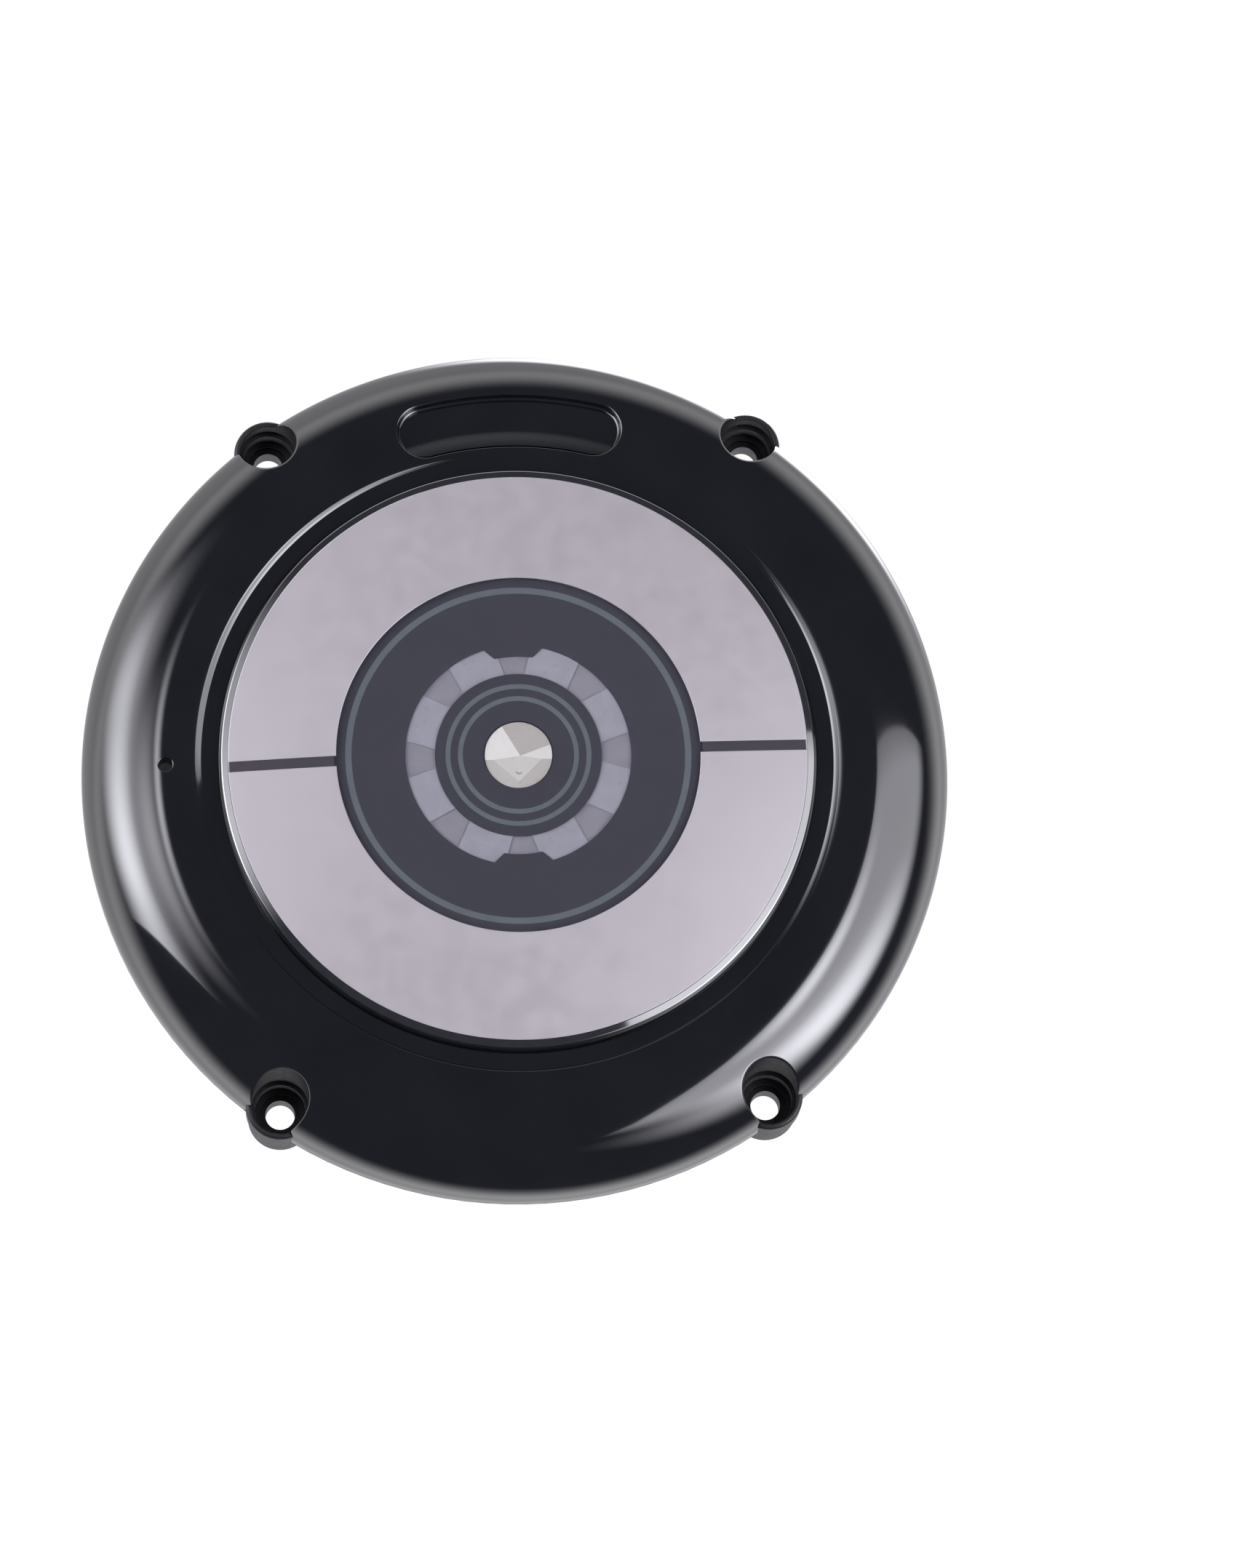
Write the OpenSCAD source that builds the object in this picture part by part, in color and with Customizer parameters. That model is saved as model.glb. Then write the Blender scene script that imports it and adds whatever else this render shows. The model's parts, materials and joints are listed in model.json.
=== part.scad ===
// Back cover of a round smartwatch: a gloss shell with four lobed screw bosses, a domed
// sensor glass with two plate electrodes, the optics under it, and the inner side with its
// gasket, bracket, flex, contact pads and pressure vent boot.
// Millimetres. The cover stands upright: its outer face looks along -Y, its inside along +Y,
// and 12 o'clock points up along +Z. The origin is the centre of the screw pattern, on the
// mating plane. Every module is drawn lying down, with z as the height above the mating
// plane towards the outer face, and upright() turns it into place.
$fn = 96;

/* [Shell] */
// Outer diameter of the shell
cover_d = 42; // [41:0.5:44]
// Straight side wall above the mating plane
side_h = 0.6; // [0.5:0.05:0.7]
// Radius of the rounded corner above the side wall
corner_r = 3.4; // [3.3:0.05:3.45]
// Radius of the crown's arc in section
crown_arc = 6.7; // [6.4:0.1:7.5]
// Height of the crown above the mating plane
crown_h = 4.15; // [4.1:0.01:4.18]
// Rounding of the lip that looks down on the glass
lip_round = 0.8; // [0.7:0.05:0.9]
// Distance of the lip's arc from the glass pocket
lip_out = 1.18; // [1.1:0.02:1.3]
// Drop from the crown to the land round the glass
land_drop = 0.2; // [0.15:0.01:0.25]
// Depth of the glass pocket below the land
pocket_drop = 0.15; // [0.1:0.05:0.25]
// Width of the ledge that carries the glass
ledge_w = 1.6; // [1.4:0.1:1.8]
// Thickness of the ledge that carries the glass
ledge_t = 0.7; // [0.6:0.05:0.75]

/* [Rim] */
// Rim lip outside the gasket groove
rim_t = 0.5; // [0.4:0.05:0.6]
// Width of the gasket
gasket_w = 0.85; // [0.7:0.05:0.95]
// Side clearance of the gasket in its groove
gasket_gap = 0.05; // [0.03:0.01:0.08]
// Depth of the gasket groove
groove_depth = 0.55; // [0.4:0.05:0.7]
// Height that the gasket stands proud of the groove
gasket_proud = 0.25; // [0.15:0.05:0.35]
// Wall between the gasket groove and the cavity
inner_wall_t = 0.6; // [0.5:0.05:0.7]
// Bend radius of the gasket where it turns in round a boss
gasket_bend = 1.1; // [0.9:0.05:1.2]

/* [Screw bosses] */
// Distance of a screw's centre inside the shell's outer edge
boss_in = 1.017; // [0.9:0.001:1.1]
// Angle of the screws above 3 o'clock
boss_turn = 54.162; // [50:0.001:58]
// Screw clearance bore
bore_d = 1.42; // [1.2:0.02:1.5]
// Mouth of the screw hole in the outer face
mouth_d = 2.74; // [2.6:0.02:2.8]
// Counterbore under the mouth
counter_d = 2.4; // [2.3:0.02:2.5]
// Small step that the screw head sits on
step_d = 1.9; // [1.7:0.02:2.1]
// Radius of the post that stands into the case
post_r = 1.55; // [1.45:0.01:1.6]
// Radius of the collar on the post's end
collar_r = 1.02; // [0.95:0.01:1.1]
// Height of the post past the mating plane
post_h = 2; // [1.8:0.1:2.2]
// Height of the collar past the post
collar_h = 0.4; // [0.3:0.05:0.5]
// Length of the screw bore
bore_len = 1.3; // [1.1:0.1:1.5]
// Radius of the lobe round the mouth
lobe_r = 1.65; // [1.6:0.01:1.75]
// Height of the lobe above the mating plane
lobe_h = 1.4; // [1.3:0.05:1.6]
// Rounding of the lobe's top edge
lobe_round = 0.2; // [0.15:0.01:0.25]
// Clearance between a post and the gasket groove
post_gap = 0.23; // [0.2:0.01:0.3]

/* [Recess at 12 o'clock] */
// Distance of the recess's middle line inside the shell's outer edge
recess_in = 4.05; // [3.95:0.05:4.15]
// Half width of the recess
recess_half_w = 1.32; // [1.2:0.02:1.35]
// Half of the angle between the centres of the round ends
recess_angle = 14; // [12:0.5:18]
// Depth of the recess below the crown
recess_depth = 0.45; // [0.3:0.05:0.5]

/* [Glass] */
// Width of the shell from its outer edge to the glass
crown_w = 6.65; // [6.6:0.05:6.75]
// Clearance round the glass
glass_gap = 0.1; // [0.05:0.01:0.15]
// Thickness of the glass at its edge
glass_edge_t = 0.45; // [0.4:0.05:0.55]
// Width of the polished bevel
bevel_w = 0.45; // [0.35:0.05:0.55]
// Drop of the polished bevel
bevel_drop = 0.28; // [0.2:0.02:0.35]
// Radius of the dome
dome_r = 139; // [130:1:160]
// Thickness of the glass over the window, at the centre
window_t = 0.5; // [0.45:0.01:0.55]
// Width of the glass's foot
foot_w = 1.2; // [1:0.05:1.3]
// Thickness of the adhesive ring under the glass
adhesive_t = 0.1; // [0.05:0.01:0.15]
// Thickness of the electrode plating
plate_t = 0.06; // [0.04:0.01:0.1]
// Radius of the window inside the electrodes
window_r = 8.74; // [8.6:0.02:8.9]
// Gap between the two electrodes
split_w = 0.47; // [0.3:0.01:0.6]

/* [Window print] */
// Thickness of an ink line
ink_t = 0.04; // [0.03:0.01:0.06]
// Thickness of the mask
mask_t = 0.08; // [0.06:0.01:0.1]
// Distance of the outer light line inside the window's edge
outer_line_in = 0.44; // [0.3:0.02:0.6]
// Width of the outer light line
outer_line_w = 0.3; // [0.2:0.02:0.4]
// Outer radius of the middle light line
middle_line_r = 3.5; // [3.4:0.02:3.7]
// Outer radius of the inner light line
inner_line_r = 2.9; // [2.8:0.02:3]
// Width of the two thin light lines
thin_line_w = 0.23; // [0.15:0.01:0.3]

/* [Optics] */
// Outer radius of the optic ring's opening in the mask
optic_r = 5.42; // [5.36:0.02:5.46]
// Inner radius of the optic ring's opening in the mask
optic_inner_r = 4; // [3.9:0.02:4.1]
// Radius of the opening at its top and bottom notches
notch_r = 4.89; // [4.8:0.01:5]
// Width of a notch at its bottom
notch_w = 1.84; // [1.6:0.02:2]
// Number of raised facets, with a sunk one after each
facet_count = 8; // [6:1:8]
// Height that a raised facet stands proud
facet_rise = 0.05; // [0.03:0.01:0.06]
// Thickness of the optic ring
optic_t = 0.35; // [0.25:0.05:0.4]
// Radius of the centre lens
lens_r = 1.62; // [1.5:0.02:1.66]
// Clearance round the centre lens
lens_gap = 0.05; // [0.03:0.01:0.08]
// Thickness of the centre lens
lens_t = 0.4; // [0.3:0.05:0.45]

/* [Sensor stack] */
// Thickness of the ferrite sheet
ferrite_t = 0.15; // [0.1:0.01:0.2]
// Thickness of the sensor board
board_t = 0.32; // [0.25:0.01:0.35]
// Gap between the charging coil and the glass's ledge
coil_gap = 1.25; // [1.1:0.05:1.6]
// Width of the charging coil's ring
coil_w = 2.2; // [1.8:0.05:2.3]
// Gap between the sensor board and the charging coil
board_gap = 0.7; // [0.4:0.05:0.9]
// Wall of the light barriers
barrier_t = 0.2; // [0.15:0.01:0.25]
// Side of a photodiode
diode_w = 0.9; // [0.7:0.05:1]
// Side of a light source
led_w = 0.6; // [0.5:0.05:0.7]
// Radius of an electrode pin
pin_r = 0.3; // [0.25:0.01:0.35]

/* [Inside] */
// Thickness of the inner bracket
bracket_t = 0.5; // [0.45:0.01:0.6]
// Gap between the inner bracket and the cavity's wall
bracket_gap = 1.05; // [0.95:0.05:1.25]
// Side of a square recess in the bracket
square_w = 0.75; // [0.6:0.05:0.85]
// Depth of the recesses in the bracket
square_depth = 0.25; // [0.15:0.05:0.35]
// Thickness of the flex circuit
flex_t = 0.12; // [0.1:0.01:0.18]
// Length of the flex circuit's end under the pads
arm_l = 4.6; // [4.4:0.1:5]
// Width of the flex circuit's end under the pads
arm_w = 2.3; // [2.1:0.1:2.5]
// Radius of the ear that a heat stake holds
ear_r = 1; // [0.9:0.05:1.1]
// Distance of the ear's centre past the end under the pads
ear_out = 0.76; // [0.7:0.01:0.8]
// Distance of the ear's centre beside the end's middle line
ear_side = 0.43; // [0.35:0.01:0.5]
// Length of the flex circuit's tail past the board connector
tail_over = 2.4; // [2:0.1:2.8]
// Width of the flex circuit's tail
tail_w = 3.2; // [2.8:0.1:3.6]
// Distance between the centres of the contact pads
pad_pitch = 2.203; // [2:0.001:2.5]
// Diameter of a contact pad
pad_d = 1.67; // [1.4:0.01:1.8]
// Thickness of a contact pad
pad_t = 0.05; // [0.04:0.01:0.08]
// Length of the board connector
connector_l = 7.2; // [6.5:0.1:8]
// Width of the board connector
connector_w = 2; // [1.6:0.1:2.4]
// Height of the board connector
connector_h = 0.7; // [0.5:0.05:0.9]
// Radius of a heat stake's shank
stake_r = 0.27; // [0.22:0.01:0.32]
// Radius of a heat stake's head
stake_head_r = 0.57; // [0.5:0.01:0.62]

/* [Pressure vent] */
// Diameter of the vent hole in the crown
vent_d = 0.66; // [0.5:0.02:0.8]
// Distance of the vent hole inside the shell's outer edge
vent_in = 4.1; // [4:0.05:4.3]
// Length of the boot's body
boot_l = 3.8; // [3.6:0.05:3.85]
// Width of the boot's body
boot_w = 3.7; // [3.5:0.05:3.8]
// Height of the boot
boot_h = 1.45; // [1.2:0.05:1.6]
// Diameter of the boot's air hole
boot_hole_d = 1.33; // [1.1:0.01:1.4]
// Thickness of the vent membrane
membrane_t = 0.1; // [0.08:0.01:0.15]
// Clearance between the boot and its pocket
boot_gap = 0.12; // [0.08:0.01:0.2]
// Height of the boot's clip
clip_h = 1.1; // [0.9:0.05:1.2]

/* [Hidden] */
// Overrun of a cutting solid past the face that it cuts
over = 0.5;

// Radii and heights of the shell
cover_r = cover_d / 2;
glass_r = cover_r - crown_w;
recess_r = cover_r - recess_in;
vent_at = cover_r - vent_in;
groove_w = gasket_w + 2 * gasket_gap;
groove_outer_r = cover_r - rim_t;
groove_inner_r = groove_outer_r - groove_w;
gasket_r = groove_outer_r - groove_w / 2;
cavity_r = groove_inner_r - inner_wall_t;
cavity_dodge = inner_wall_t + groove_w;
seat_r = glass_r + glass_gap;
open_r = seat_r - ledge_w;
land_h = crown_h - land_drop;
seat_h = land_h - pocket_drop;
floor_h = seat_h - ledge_t;

// Centres of the three arcs of the outer face, each tangent to the next, but for the lip's
// arc, which stands a hair past the crown's so that the two cross
lip_cross = 0.004;
corner_c = [cover_r - corner_r, side_h];
arc_slope = asin((side_h + crown_arc - crown_h) / (crown_arc - corner_r));
crown_c = [corner_c[0] - (crown_arc - corner_r) * cos(arc_slope), crown_h - crown_arc];
lip_x = seat_r + lip_out;
lip_turn = 90 + asin((crown_c[0] - lip_x) / (crown_arc - lip_round));
lip_c = crown_c + (crown_arc - lip_round + lip_cross) * [cos(lip_turn), sin(lip_turn)];

// Screw bosses, and how far the gasket's middle line stays from a boss
boss_at = cover_r - boss_in;
boss_spots = [for (sx = [-1, 1], sy = [-1, 1])
    boss_at * [sx * cos(boss_turn), sy * sin(boss_turn)]];
dodge_r = post_r + post_gap + groove_w / 2;
post_end = -post_h;
collar_end = post_end - collar_h;
head_floor = collar_end + bore_len;
step_top = head_floor + 0.3;
counter_top = side_h - 0.3;

// Heights of the glass and of what lies under it
foot_h = seat_h + adhesive_t;
bevel_top = foot_h + glass_edge_t + bevel_drop;
plate_r = glass_r - bevel_w;
outer_line_r = window_r - outer_line_in;
dome_top = bevel_top + dome_r - sqrt(dome_r * dome_r - plate_r * plate_r);
window_h = dome_top - window_t;
mask_top = window_h - ink_t;
mask_h = mask_top - mask_t;
mask_r = window_r + 0.35;
foot_inner_r = glass_r - foot_w;
facet_turn = 1.4;
lens_hole_r = lens_r + lens_gap;
coil_outer_r = open_r - coil_gap;
coil_inner_r = coil_outer_r - coil_w;
board_r = coil_inner_r - board_gap;
pin_at = open_r - coil_gap / 2;
ferrite_h = floor_h + ferrite_t;
board_top = ferrite_h + board_t;

// Levels on the inner side
bracket_h = floor_h - bracket_t;
flex_h = bracket_h - flex_t;
pad_h = flex_h - pad_t;

// Places on the inner side, seen from outside: x to the right, y to 12 o'clock. The layout
// grows and shrinks with the cavity.
layout = cavity_r / 18.95;
bracket_r = cavity_r - bracket_gap;
boot_x = -vent_at + boot_l / 4;
boot_y = 0.35;
membrane_x = -vent_at + boot_l / 5;
boot_seat = floor_h - membrane_t;
boot_shoulder = 0.15;
boot_top = boot_seat - boot_shoulder - boot_h;
boot_hole_x = boot_x + 0.03;
membrane_r = 1.25;
flex_turn = 54.8;
arm_way = [cos(flex_turn), -sin(flex_turn)];
arm_side = [sin(flex_turn), cos(flex_turn)];
arm_at = layout * [-12.745, -9.35];
ear_at = arm_at + (arm_l / 2 + ear_out) * arm_way + ear_side * arm_side;
pad_spots = [for (side = [-1, 1]) arm_at + side * pad_pitch / 2 * arm_way];
stake_spots = [ear_at, layout * [11.6, -9.4], layout * [9.6, 10.8]];
diagonal_squares = layout * [[-11.93, 9.6], [-12.64, 8.2], [-13.35, 6.85]];
grid_squares = layout * [for (x = [-13.9, -15.97], y = [-2.92, -4.41]) [x, y]];

// Turns what is drawn lying down into its upright place
module upright() {
    rotate([90, 0, 0]) children();
}

// Disc, ring or tube between two heights
module tube(r, inner_r, z0, z1) {
    translate([0, 0, z0]) linear_extrude(z1 - z0) difference() {
        circle(r);
        if (inner_r > 0) circle(inner_r);
    }
}

// Height of the glass's dome at radius r
function dome(r) = dome_top - dome_r + sqrt(dome_r * dome_r - r * r);

// Points of the dome between two radii, raised by lift
function dome_points(r0, r1, count, lift = 0) =
    [for (i = [0:count]) let (r = r0 + (r1 - r0) * i / count) [r, dome(r) + lift]];

// Wedge between two angles, longer than the radius it is used with
module wedge(a0, a1, reach) {
    mid = (a0 + a1) / 2;
    far = reach / cos((a1 - a0) / 2) * 1.2;
    polygon([[0, 0], far * [cos(a0), sin(a0)], far * [cos(mid), sin(mid)],
        far * [cos(a1), sin(a1)]]);
}

// Region inside a circle that stays dodge away from every boss, with rounded turns
module dodged(r, dodge, bend) {
    at = r - bend;
    swing = acos((boss_at * boss_at + at * at - pow(dodge + bend, 2)) / (2 * boss_at * at));
    tip = acos((boss_at * boss_at + r * r - dodge * dodge) / (2 * boss_at * r));
    difference() {
        circle(r);
        for (spot = boss_spots) translate(spot) circle(dodge);
        for (flip_x = [0, 1], flip_y = [0, 1], side = [-1, 1])
            mirror([flip_x, 0]) mirror([0, flip_y])
                sharp_turn(r, dodge, bend, at, side * swing, side * tip);
    }
}

// Sharp tip that a rounded turn takes off a dodged region
module sharp_turn(r, dodge, bend, at, swing, tip) {
    centre = at * [cos(boss_turn + swing), sin(boss_turn + swing)];
    boss = boss_at * [cos(boss_turn), sin(boss_turn)];
    outer = centre * (r + 0.05) / at;
    inner = boss + (centre - boss) * (dodge - 0.05) / (dodge + bend);
    corner = (r + 0.1) * [cos(boss_turn + tip * 0.9), sin(boss_turn + tip * 0.9)];
    difference() {
        polygon([centre, outer, corner, inner]);
        translate(centre) circle(bend);
    }
}

// Sector of a disc between two angles
module sector(centre, r, a0, a1) {
    translate(centre) intersection() {
        circle(r);
        wedge(a0, a1, r);
    }
}

// Half section of the shell's outer body: x is the radius, y the height
module shell_section() {
    intersection() {
        union() {
            sector(corner_c, corner_r, 0, arc_slope);
            sector(crown_c, crown_arc, arc_slope, lip_turn);
            translate(lip_c) circle(lip_round);
            polygon([[seat_r, 0], [cover_r, 0], [cover_r, side_h], corner_c, lip_c,
                [lip_c[0], land_h], [seat_r, land_h]]);
        }
        square([cover_r, crown_h + over]);
    }
    translate([open_r, 0]) square([glass_r - open_r + 1, seat_h]);
}

module cavity() {
    translate([0, 0, -over]) linear_extrude(floor_h + over)
        dodged(cavity_r, dodge_r + groove_w / 2 + inner_wall_t, gasket_bend - cavity_dodge / 2);
}

module gasket_groove() {
    translate([0, 0, -over]) linear_extrude(groove_depth + over) gasket_path(groove_w);
}

// Band of a given width along the gasket's middle line
module gasket_path(w) {
    difference() {
        dodged(gasket_r + w / 2, dodge_r - w / 2, gasket_bend + w / 2);
        dodged(gasket_r - w / 2, dodge_r + w / 2, gasket_bend - w / 2);
    }
}

// Points of an arc round a centre, from one angle up to but not including another
function arc_points(centre, r, a0, a1, count) =
    [for (i = [0:count - 1]) let (a = a0 + (a1 - a0) * i / count) centre + r * [cos(a), sin(a)]];

// Kidney outline with round ends, whose centres are on a circle at two angles
module kidney(r, half_w, first, last) {
    sides = 12;
    polygon(concat(
        arc_points([0, 0], r + half_w, first, last, sides),
        arc_points(r * [cos(last), sin(last)], half_w, last, last + 180, sides),
        arc_points([0, 0], r - half_w, last, first, sides),
        arc_points(r * [cos(first), sin(first)], half_w, first - 180, first, sides)));
}

// Everything above the recess's floor, which follows the crown
module recess_cut() {
    difference() {
        translate([0, 0, floor_h]) linear_extrude(crown_h)
            kidney(recess_r, recess_half_w, 90 - recess_angle, 90 + recess_angle);
        rotate_extrude() intersection() {
            translate([open_r, 0]) square([cover_r - open_r, crown_h]);
            translate(crown_c) circle(crown_arc - recess_depth);
        }
    }
}

module boss_post() {
    translate([0, 0, post_end]) cylinder(r = post_r, h = post_h + groove_depth);
    translate([0, 0, collar_end]) cylinder(r = collar_r, h = collar_h + over);
}

module boss_lobe() {
    cylinder(r = lobe_r, h = lobe_h - lobe_round);
    rotate_extrude() {
        square([lobe_r - lobe_round, lobe_h]);
        sector([lobe_r - lobe_round, lobe_h - lobe_round], lobe_round, 0, 90);
    }
}

module screw_hole() {
    translate([0, 0, collar_end - over]) cylinder(d = bore_d, h = bore_len + 2 * over);
    translate([0, 0, head_floor]) cylinder(d = step_d, h = crown_h);
    translate([0, 0, step_top]) cylinder(d = counter_d, h = crown_h);
    translate([0, 0, counter_top]) cylinder(d = mouth_d, h = crown_h + over);
}

// Bar standing on the cavity's floor, from one point of the layout to another
module floor_rib(from, to) {
    rib_w = 0.35;
    rib_h = 1.2;
    start = layout * from;
    run = layout * (to - from);
    translate([start[0], start[1], floor_h - rib_h]) rotate(atan2(run[1], run[0]))
        translate([0, -rib_w / 2, 0]) cube([norm(run), rib_w, rib_h + 0.1]);
}

module floor_ribs() {
    // Ribs at 11 o'clock, the short foot of the first one makes an L
    floor_rib([-6.9, 15.4], [-6.9, 17.2]);
    floor_rib([-6.9, 15.4], [-6.2, 15.4]);
    floor_rib([-9.45, 11.9], [-9.45, 14.1]);
    // Diagonal ribs beside the contact pads
    floor_rib([-13.5, -11.1], [-14.55, -9.75]);
    floor_rib([-14.95, -9.25], [-16.05, -7.75]);
    // Frame pocket at 7 o'clock
    for (x = [-7.9, -5.9]) floor_rib([x, -17.3], [x, -15.9]);
    floor_rib([-7.9, -15.9], [-5.9, -15.9]);
}

// Shallow recesses in the cavity's floor near 9 o'clock
module floor_slots() {
    depth = 0.25;
    slot_w = 0.84;
    translate([0, 0, floor_h - over]) linear_extrude(depth + over) {
        kidney(cavity_r - 1.2, slot_w / 2, 158, 169);
        translate(layout * [-14.95, 8.9]) rotate(60)
            translate([-1.15, -slot_w / 2]) square([2.3, slot_w]);
    }
}

// Triangular pocket in the rim's land beside a boss
module rim_pocket(side) {
    rotate(boss_turn + side * 6) translate([groove_outer_r - 0.3, 0, -over])
        linear_extrude(0.35 + over) polygon([[0.12, -side * 0.42], [0.12, side * 0.42],
            [-0.42, -side * 0.3]]);
}

module rear_shell() {
    color([0.08, 0.08, 0.1]) upright() difference() {
        union() {
            difference() {
                rotate_extrude() shell_section();
                cavity();
                gasket_groove();
                recess_cut();
                floor_slots();
                for (flip_x = [0, 1], flip_y = [0, 1], side = [-1, 1])
                    mirror([flip_x, 0, 0]) mirror([0, flip_y, 0]) rim_pocket(side);
                translate([-vent_at, 0, 0]) cylinder(d = vent_d, h = crown_h + over);
            }
            for (spot = boss_spots) translate(spot) {
                boss_post();
                boss_lobe();
            }
            floor_ribs();
        }
        for (spot = boss_spots) translate(spot) screw_hole();
    }
}

module gasket() {
    crest_w = gasket_w * 0.55;
    shoulder = gasket_proud * 0.6;
    color([0.43, 0.49, 0.55]) upright() {
        translate([0, 0, -gasket_proud + shoulder]) linear_extrude(groove_depth + gasket_proud - shoulder)
            gasket_path(gasket_w);
        translate([0, 0, -gasket_proud]) linear_extrude(shoulder + 0.1) gasket_path(crest_w);
    }
}

module cover_glass() {
    flat_r = mask_r + 0.05;
    inner_foot_h = foot_h + glass_edge_t * 0.75;
    color([0.3, 0.3, 0.34]) upright() difference() {
        rotate_extrude() polygon(concat([[0, window_h]],
            dome_points(0, window_r, 4),
            dome_points(window_r, plate_r, 5),
            [[glass_r, bevel_top - bevel_drop], [glass_r, foot_h], [foot_inner_r, foot_h],
            [foot_inner_r, inner_foot_h], [flat_r, window_h]]));
        for (side = [-1, 1]) {
            translate([0, side * pin_at, foot_h]) cylinder(r = pin_r + 0.03, h = dome_top);
            plate_cut(side, over);
        }
    }
}

// Half of the dome's plated ring, up to lift above the dome
module plate_cut(side, lift) {
    intersection() {
        rotate_extrude() polygon(concat(dome_points(window_r, plate_r, 5, -plate_t),
            [for (i = [5:-1:0]) dome_points(window_r, plate_r, 5, lift)[i]]));
        translate([-cover_r, side > 0 ? split_w / 2 : -cover_r - split_w / 2, 0])
            cube([2 * cover_r, cover_r, 2 * dome_top]);
    }
}

// One electrode, flush with the dome: side 1 is the upper plate, side -1 the lower
module electrode(side) {
    color([0.74, 0.72, 0.76]) upright() plate_cut(side, 0);
}

module upper_electrode() {
    electrode(1);
}

module lower_electrode() {
    electrode(-1);
}

module glass_adhesive() {
    color([0.15, 0.15, 0.16]) upright()
        tube(glass_r - 0.1, open_r + 0.15, seat_h, foot_h);
}

// Opening of the optic ring in the mask, narrower at its top and bottom notches
module optic_opening(inset) {
    side_run = 0.45;
    half_w = notch_w / 2 + inset;
    difference() {
        circle(optic_r - inset);
        rotate(facet_turn) for (flip = [0, 1]) mirror([0, flip]) difference() {
            polygon([[-half_w, 0], [half_w, 0], [half_w, notch_r], [half_w + side_run, optic_r],
                [half_w + side_run, optic_r + 1], [-half_w - side_run, optic_r + 1],
                [-half_w - side_run, optic_r], [-half_w, notch_r]]);
            circle(notch_r - inset);
        }
    }
}

module window_mask() {
    color([0.27, 0.27, 0.31]) upright() difference() {
        translate([0, 0, mask_h]) linear_extrude(mask_t + ink_t) difference() {
            circle(mask_r);
            optic_opening(0);
        }
        tube(outer_line_r, outer_line_r - outer_line_w, mask_top, window_h + over);
    }
}

module centre_mask() {
    color([0.25, 0.25, 0.29]) upright() difference() {
        tube(optic_inner_r, lens_hole_r, mask_h, window_h);
        for (r = [middle_line_r, inner_line_r])
            tube(r, r - thin_line_w, mask_top, window_h + over);
    }
}

module outer_line() {
    color([0.42, 0.44, 0.47]) upright()
        tube(outer_line_r, outer_line_r - outer_line_w, mask_top, window_h);
}

module centre_lines() {
    color([0.42, 0.44, 0.47]) upright() for (r = [middle_line_r, inner_line_r])
        tube(r, r - thin_line_w, mask_top, window_h);
}

// Facet that stays sunk: narrow at the centre mask, wide at the outside
module sunk_facet() {
    polygon([[optic_inner_r - 1, -0.2], [optic_r + 1, -1.33], [optic_r + 1, 1.33],
        [optic_inner_r - 1, 0.2]]);
}

module optic_ring() {
    margin = 0.12;
    color([0.58, 0.58, 0.64]) upright() {
        tube(optic_r + margin, optic_inner_r - margin, mask_h - optic_t, mask_h);
        translate([0, 0, mask_h - 0.1]) linear_extrude(0.1 + facet_rise) difference() {
            optic_opening(0.05);
            circle(optic_inner_r + 0.1);
            for (i = [0:facet_count - 1]) rotate(facet_turn + i * 360 / facet_count) sunk_facet();
        }
    }
}

module centre_lens() {
    flange = 0.5;
    color([0.85, 0.84, 0.86]) upright() {
        translate([0, 0, mask_h - lens_t]) cylinder(r = lens_r + flange, h = lens_t);
        translate([0, 0, mask_h - 0.1]) cylinder(r = lens_r, h = mask_t + 0.08);
    }
}

module outer_barrier() {
    color([0.12, 0.12, 0.13]) upright() tube(optic_r + 0.15 + barrier_t, optic_r + 0.15,
        board_top, mask_h);
}

module inner_barrier() {
    color([0.12, 0.12, 0.13]) upright() tube(optic_inner_r - 0.15, optic_inner_r - 0.15 - barrier_t,
        board_top, mask_h);
}

module photodiodes() {
    diode_at = (optic_r + optic_inner_r) / 2;
    diode_h = 0.22;
    color([0.2, 0.2, 0.24]) upright() for (i = [0:facet_count - 1])
        rotate((i + 0.5) * 360 / facet_count)
            translate([diode_at - diode_w / 2, -diode_w / 2, board_top])
                cube([diode_w, diode_w, diode_h]);
}

module sensor_leds() {
    led_h = 0.25;
    color([0.85, 0.85, 0.7]) upright() for (turn = [90, 210, 330])
        rotate(turn) translate([led_w / 2, -led_w / 2, board_top])
            cube([led_w, led_w, led_h]);
}

module sensor_board() {
    color([0.05, 0.3, 0.2]) upright() tube(board_r, 0, ferrite_h, board_top);
}

module charging_coil() {
    color([0.72, 0.42, 0.2]) upright() tube(coil_outer_r, coil_inner_r, ferrite_h, board_top);
}

module ferrite_sheet() {
    color([0.22, 0.22, 0.22]) upright() tube(coil_outer_r + 0.1, 0, floor_h, ferrite_h);
}

module electrode_pins() {
    color([0.85, 0.7, 0.35]) upright() for (side = [-1, 1])
        translate([0, side * pin_at, floor_h])
            cylinder(r = pin_r, h = dome(pin_at + pin_r) - 0.01 - floor_h);
}

// Outline of the smooth bracket that covers the sensor stack
module bracket_outline() {
    intersection() {
        circle(bracket_r);
        polygon(layout * [[-8.2, 12.4], [-12.3, 10.9], [-14.3, 7.6], [-14.95, 6.5], [-16.1, 3.8],
            [-18, 3.2], [-18, -2.1], [-17.3, -2.1], [-17.3, -5.2], [-16.3, -7.1],
            [-13.1, -11.4], [-12.2, -12.7], [-9.6, -13], [-6, -13.4], [6, -13.4],
            [10.5, -11.6], [13.6, -8], [15.2, -3], [15.2, 3], [13.6, 8],
            [10.5, 12], [6, 13.4], [-5, 13.4]]);
    }
}

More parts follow.
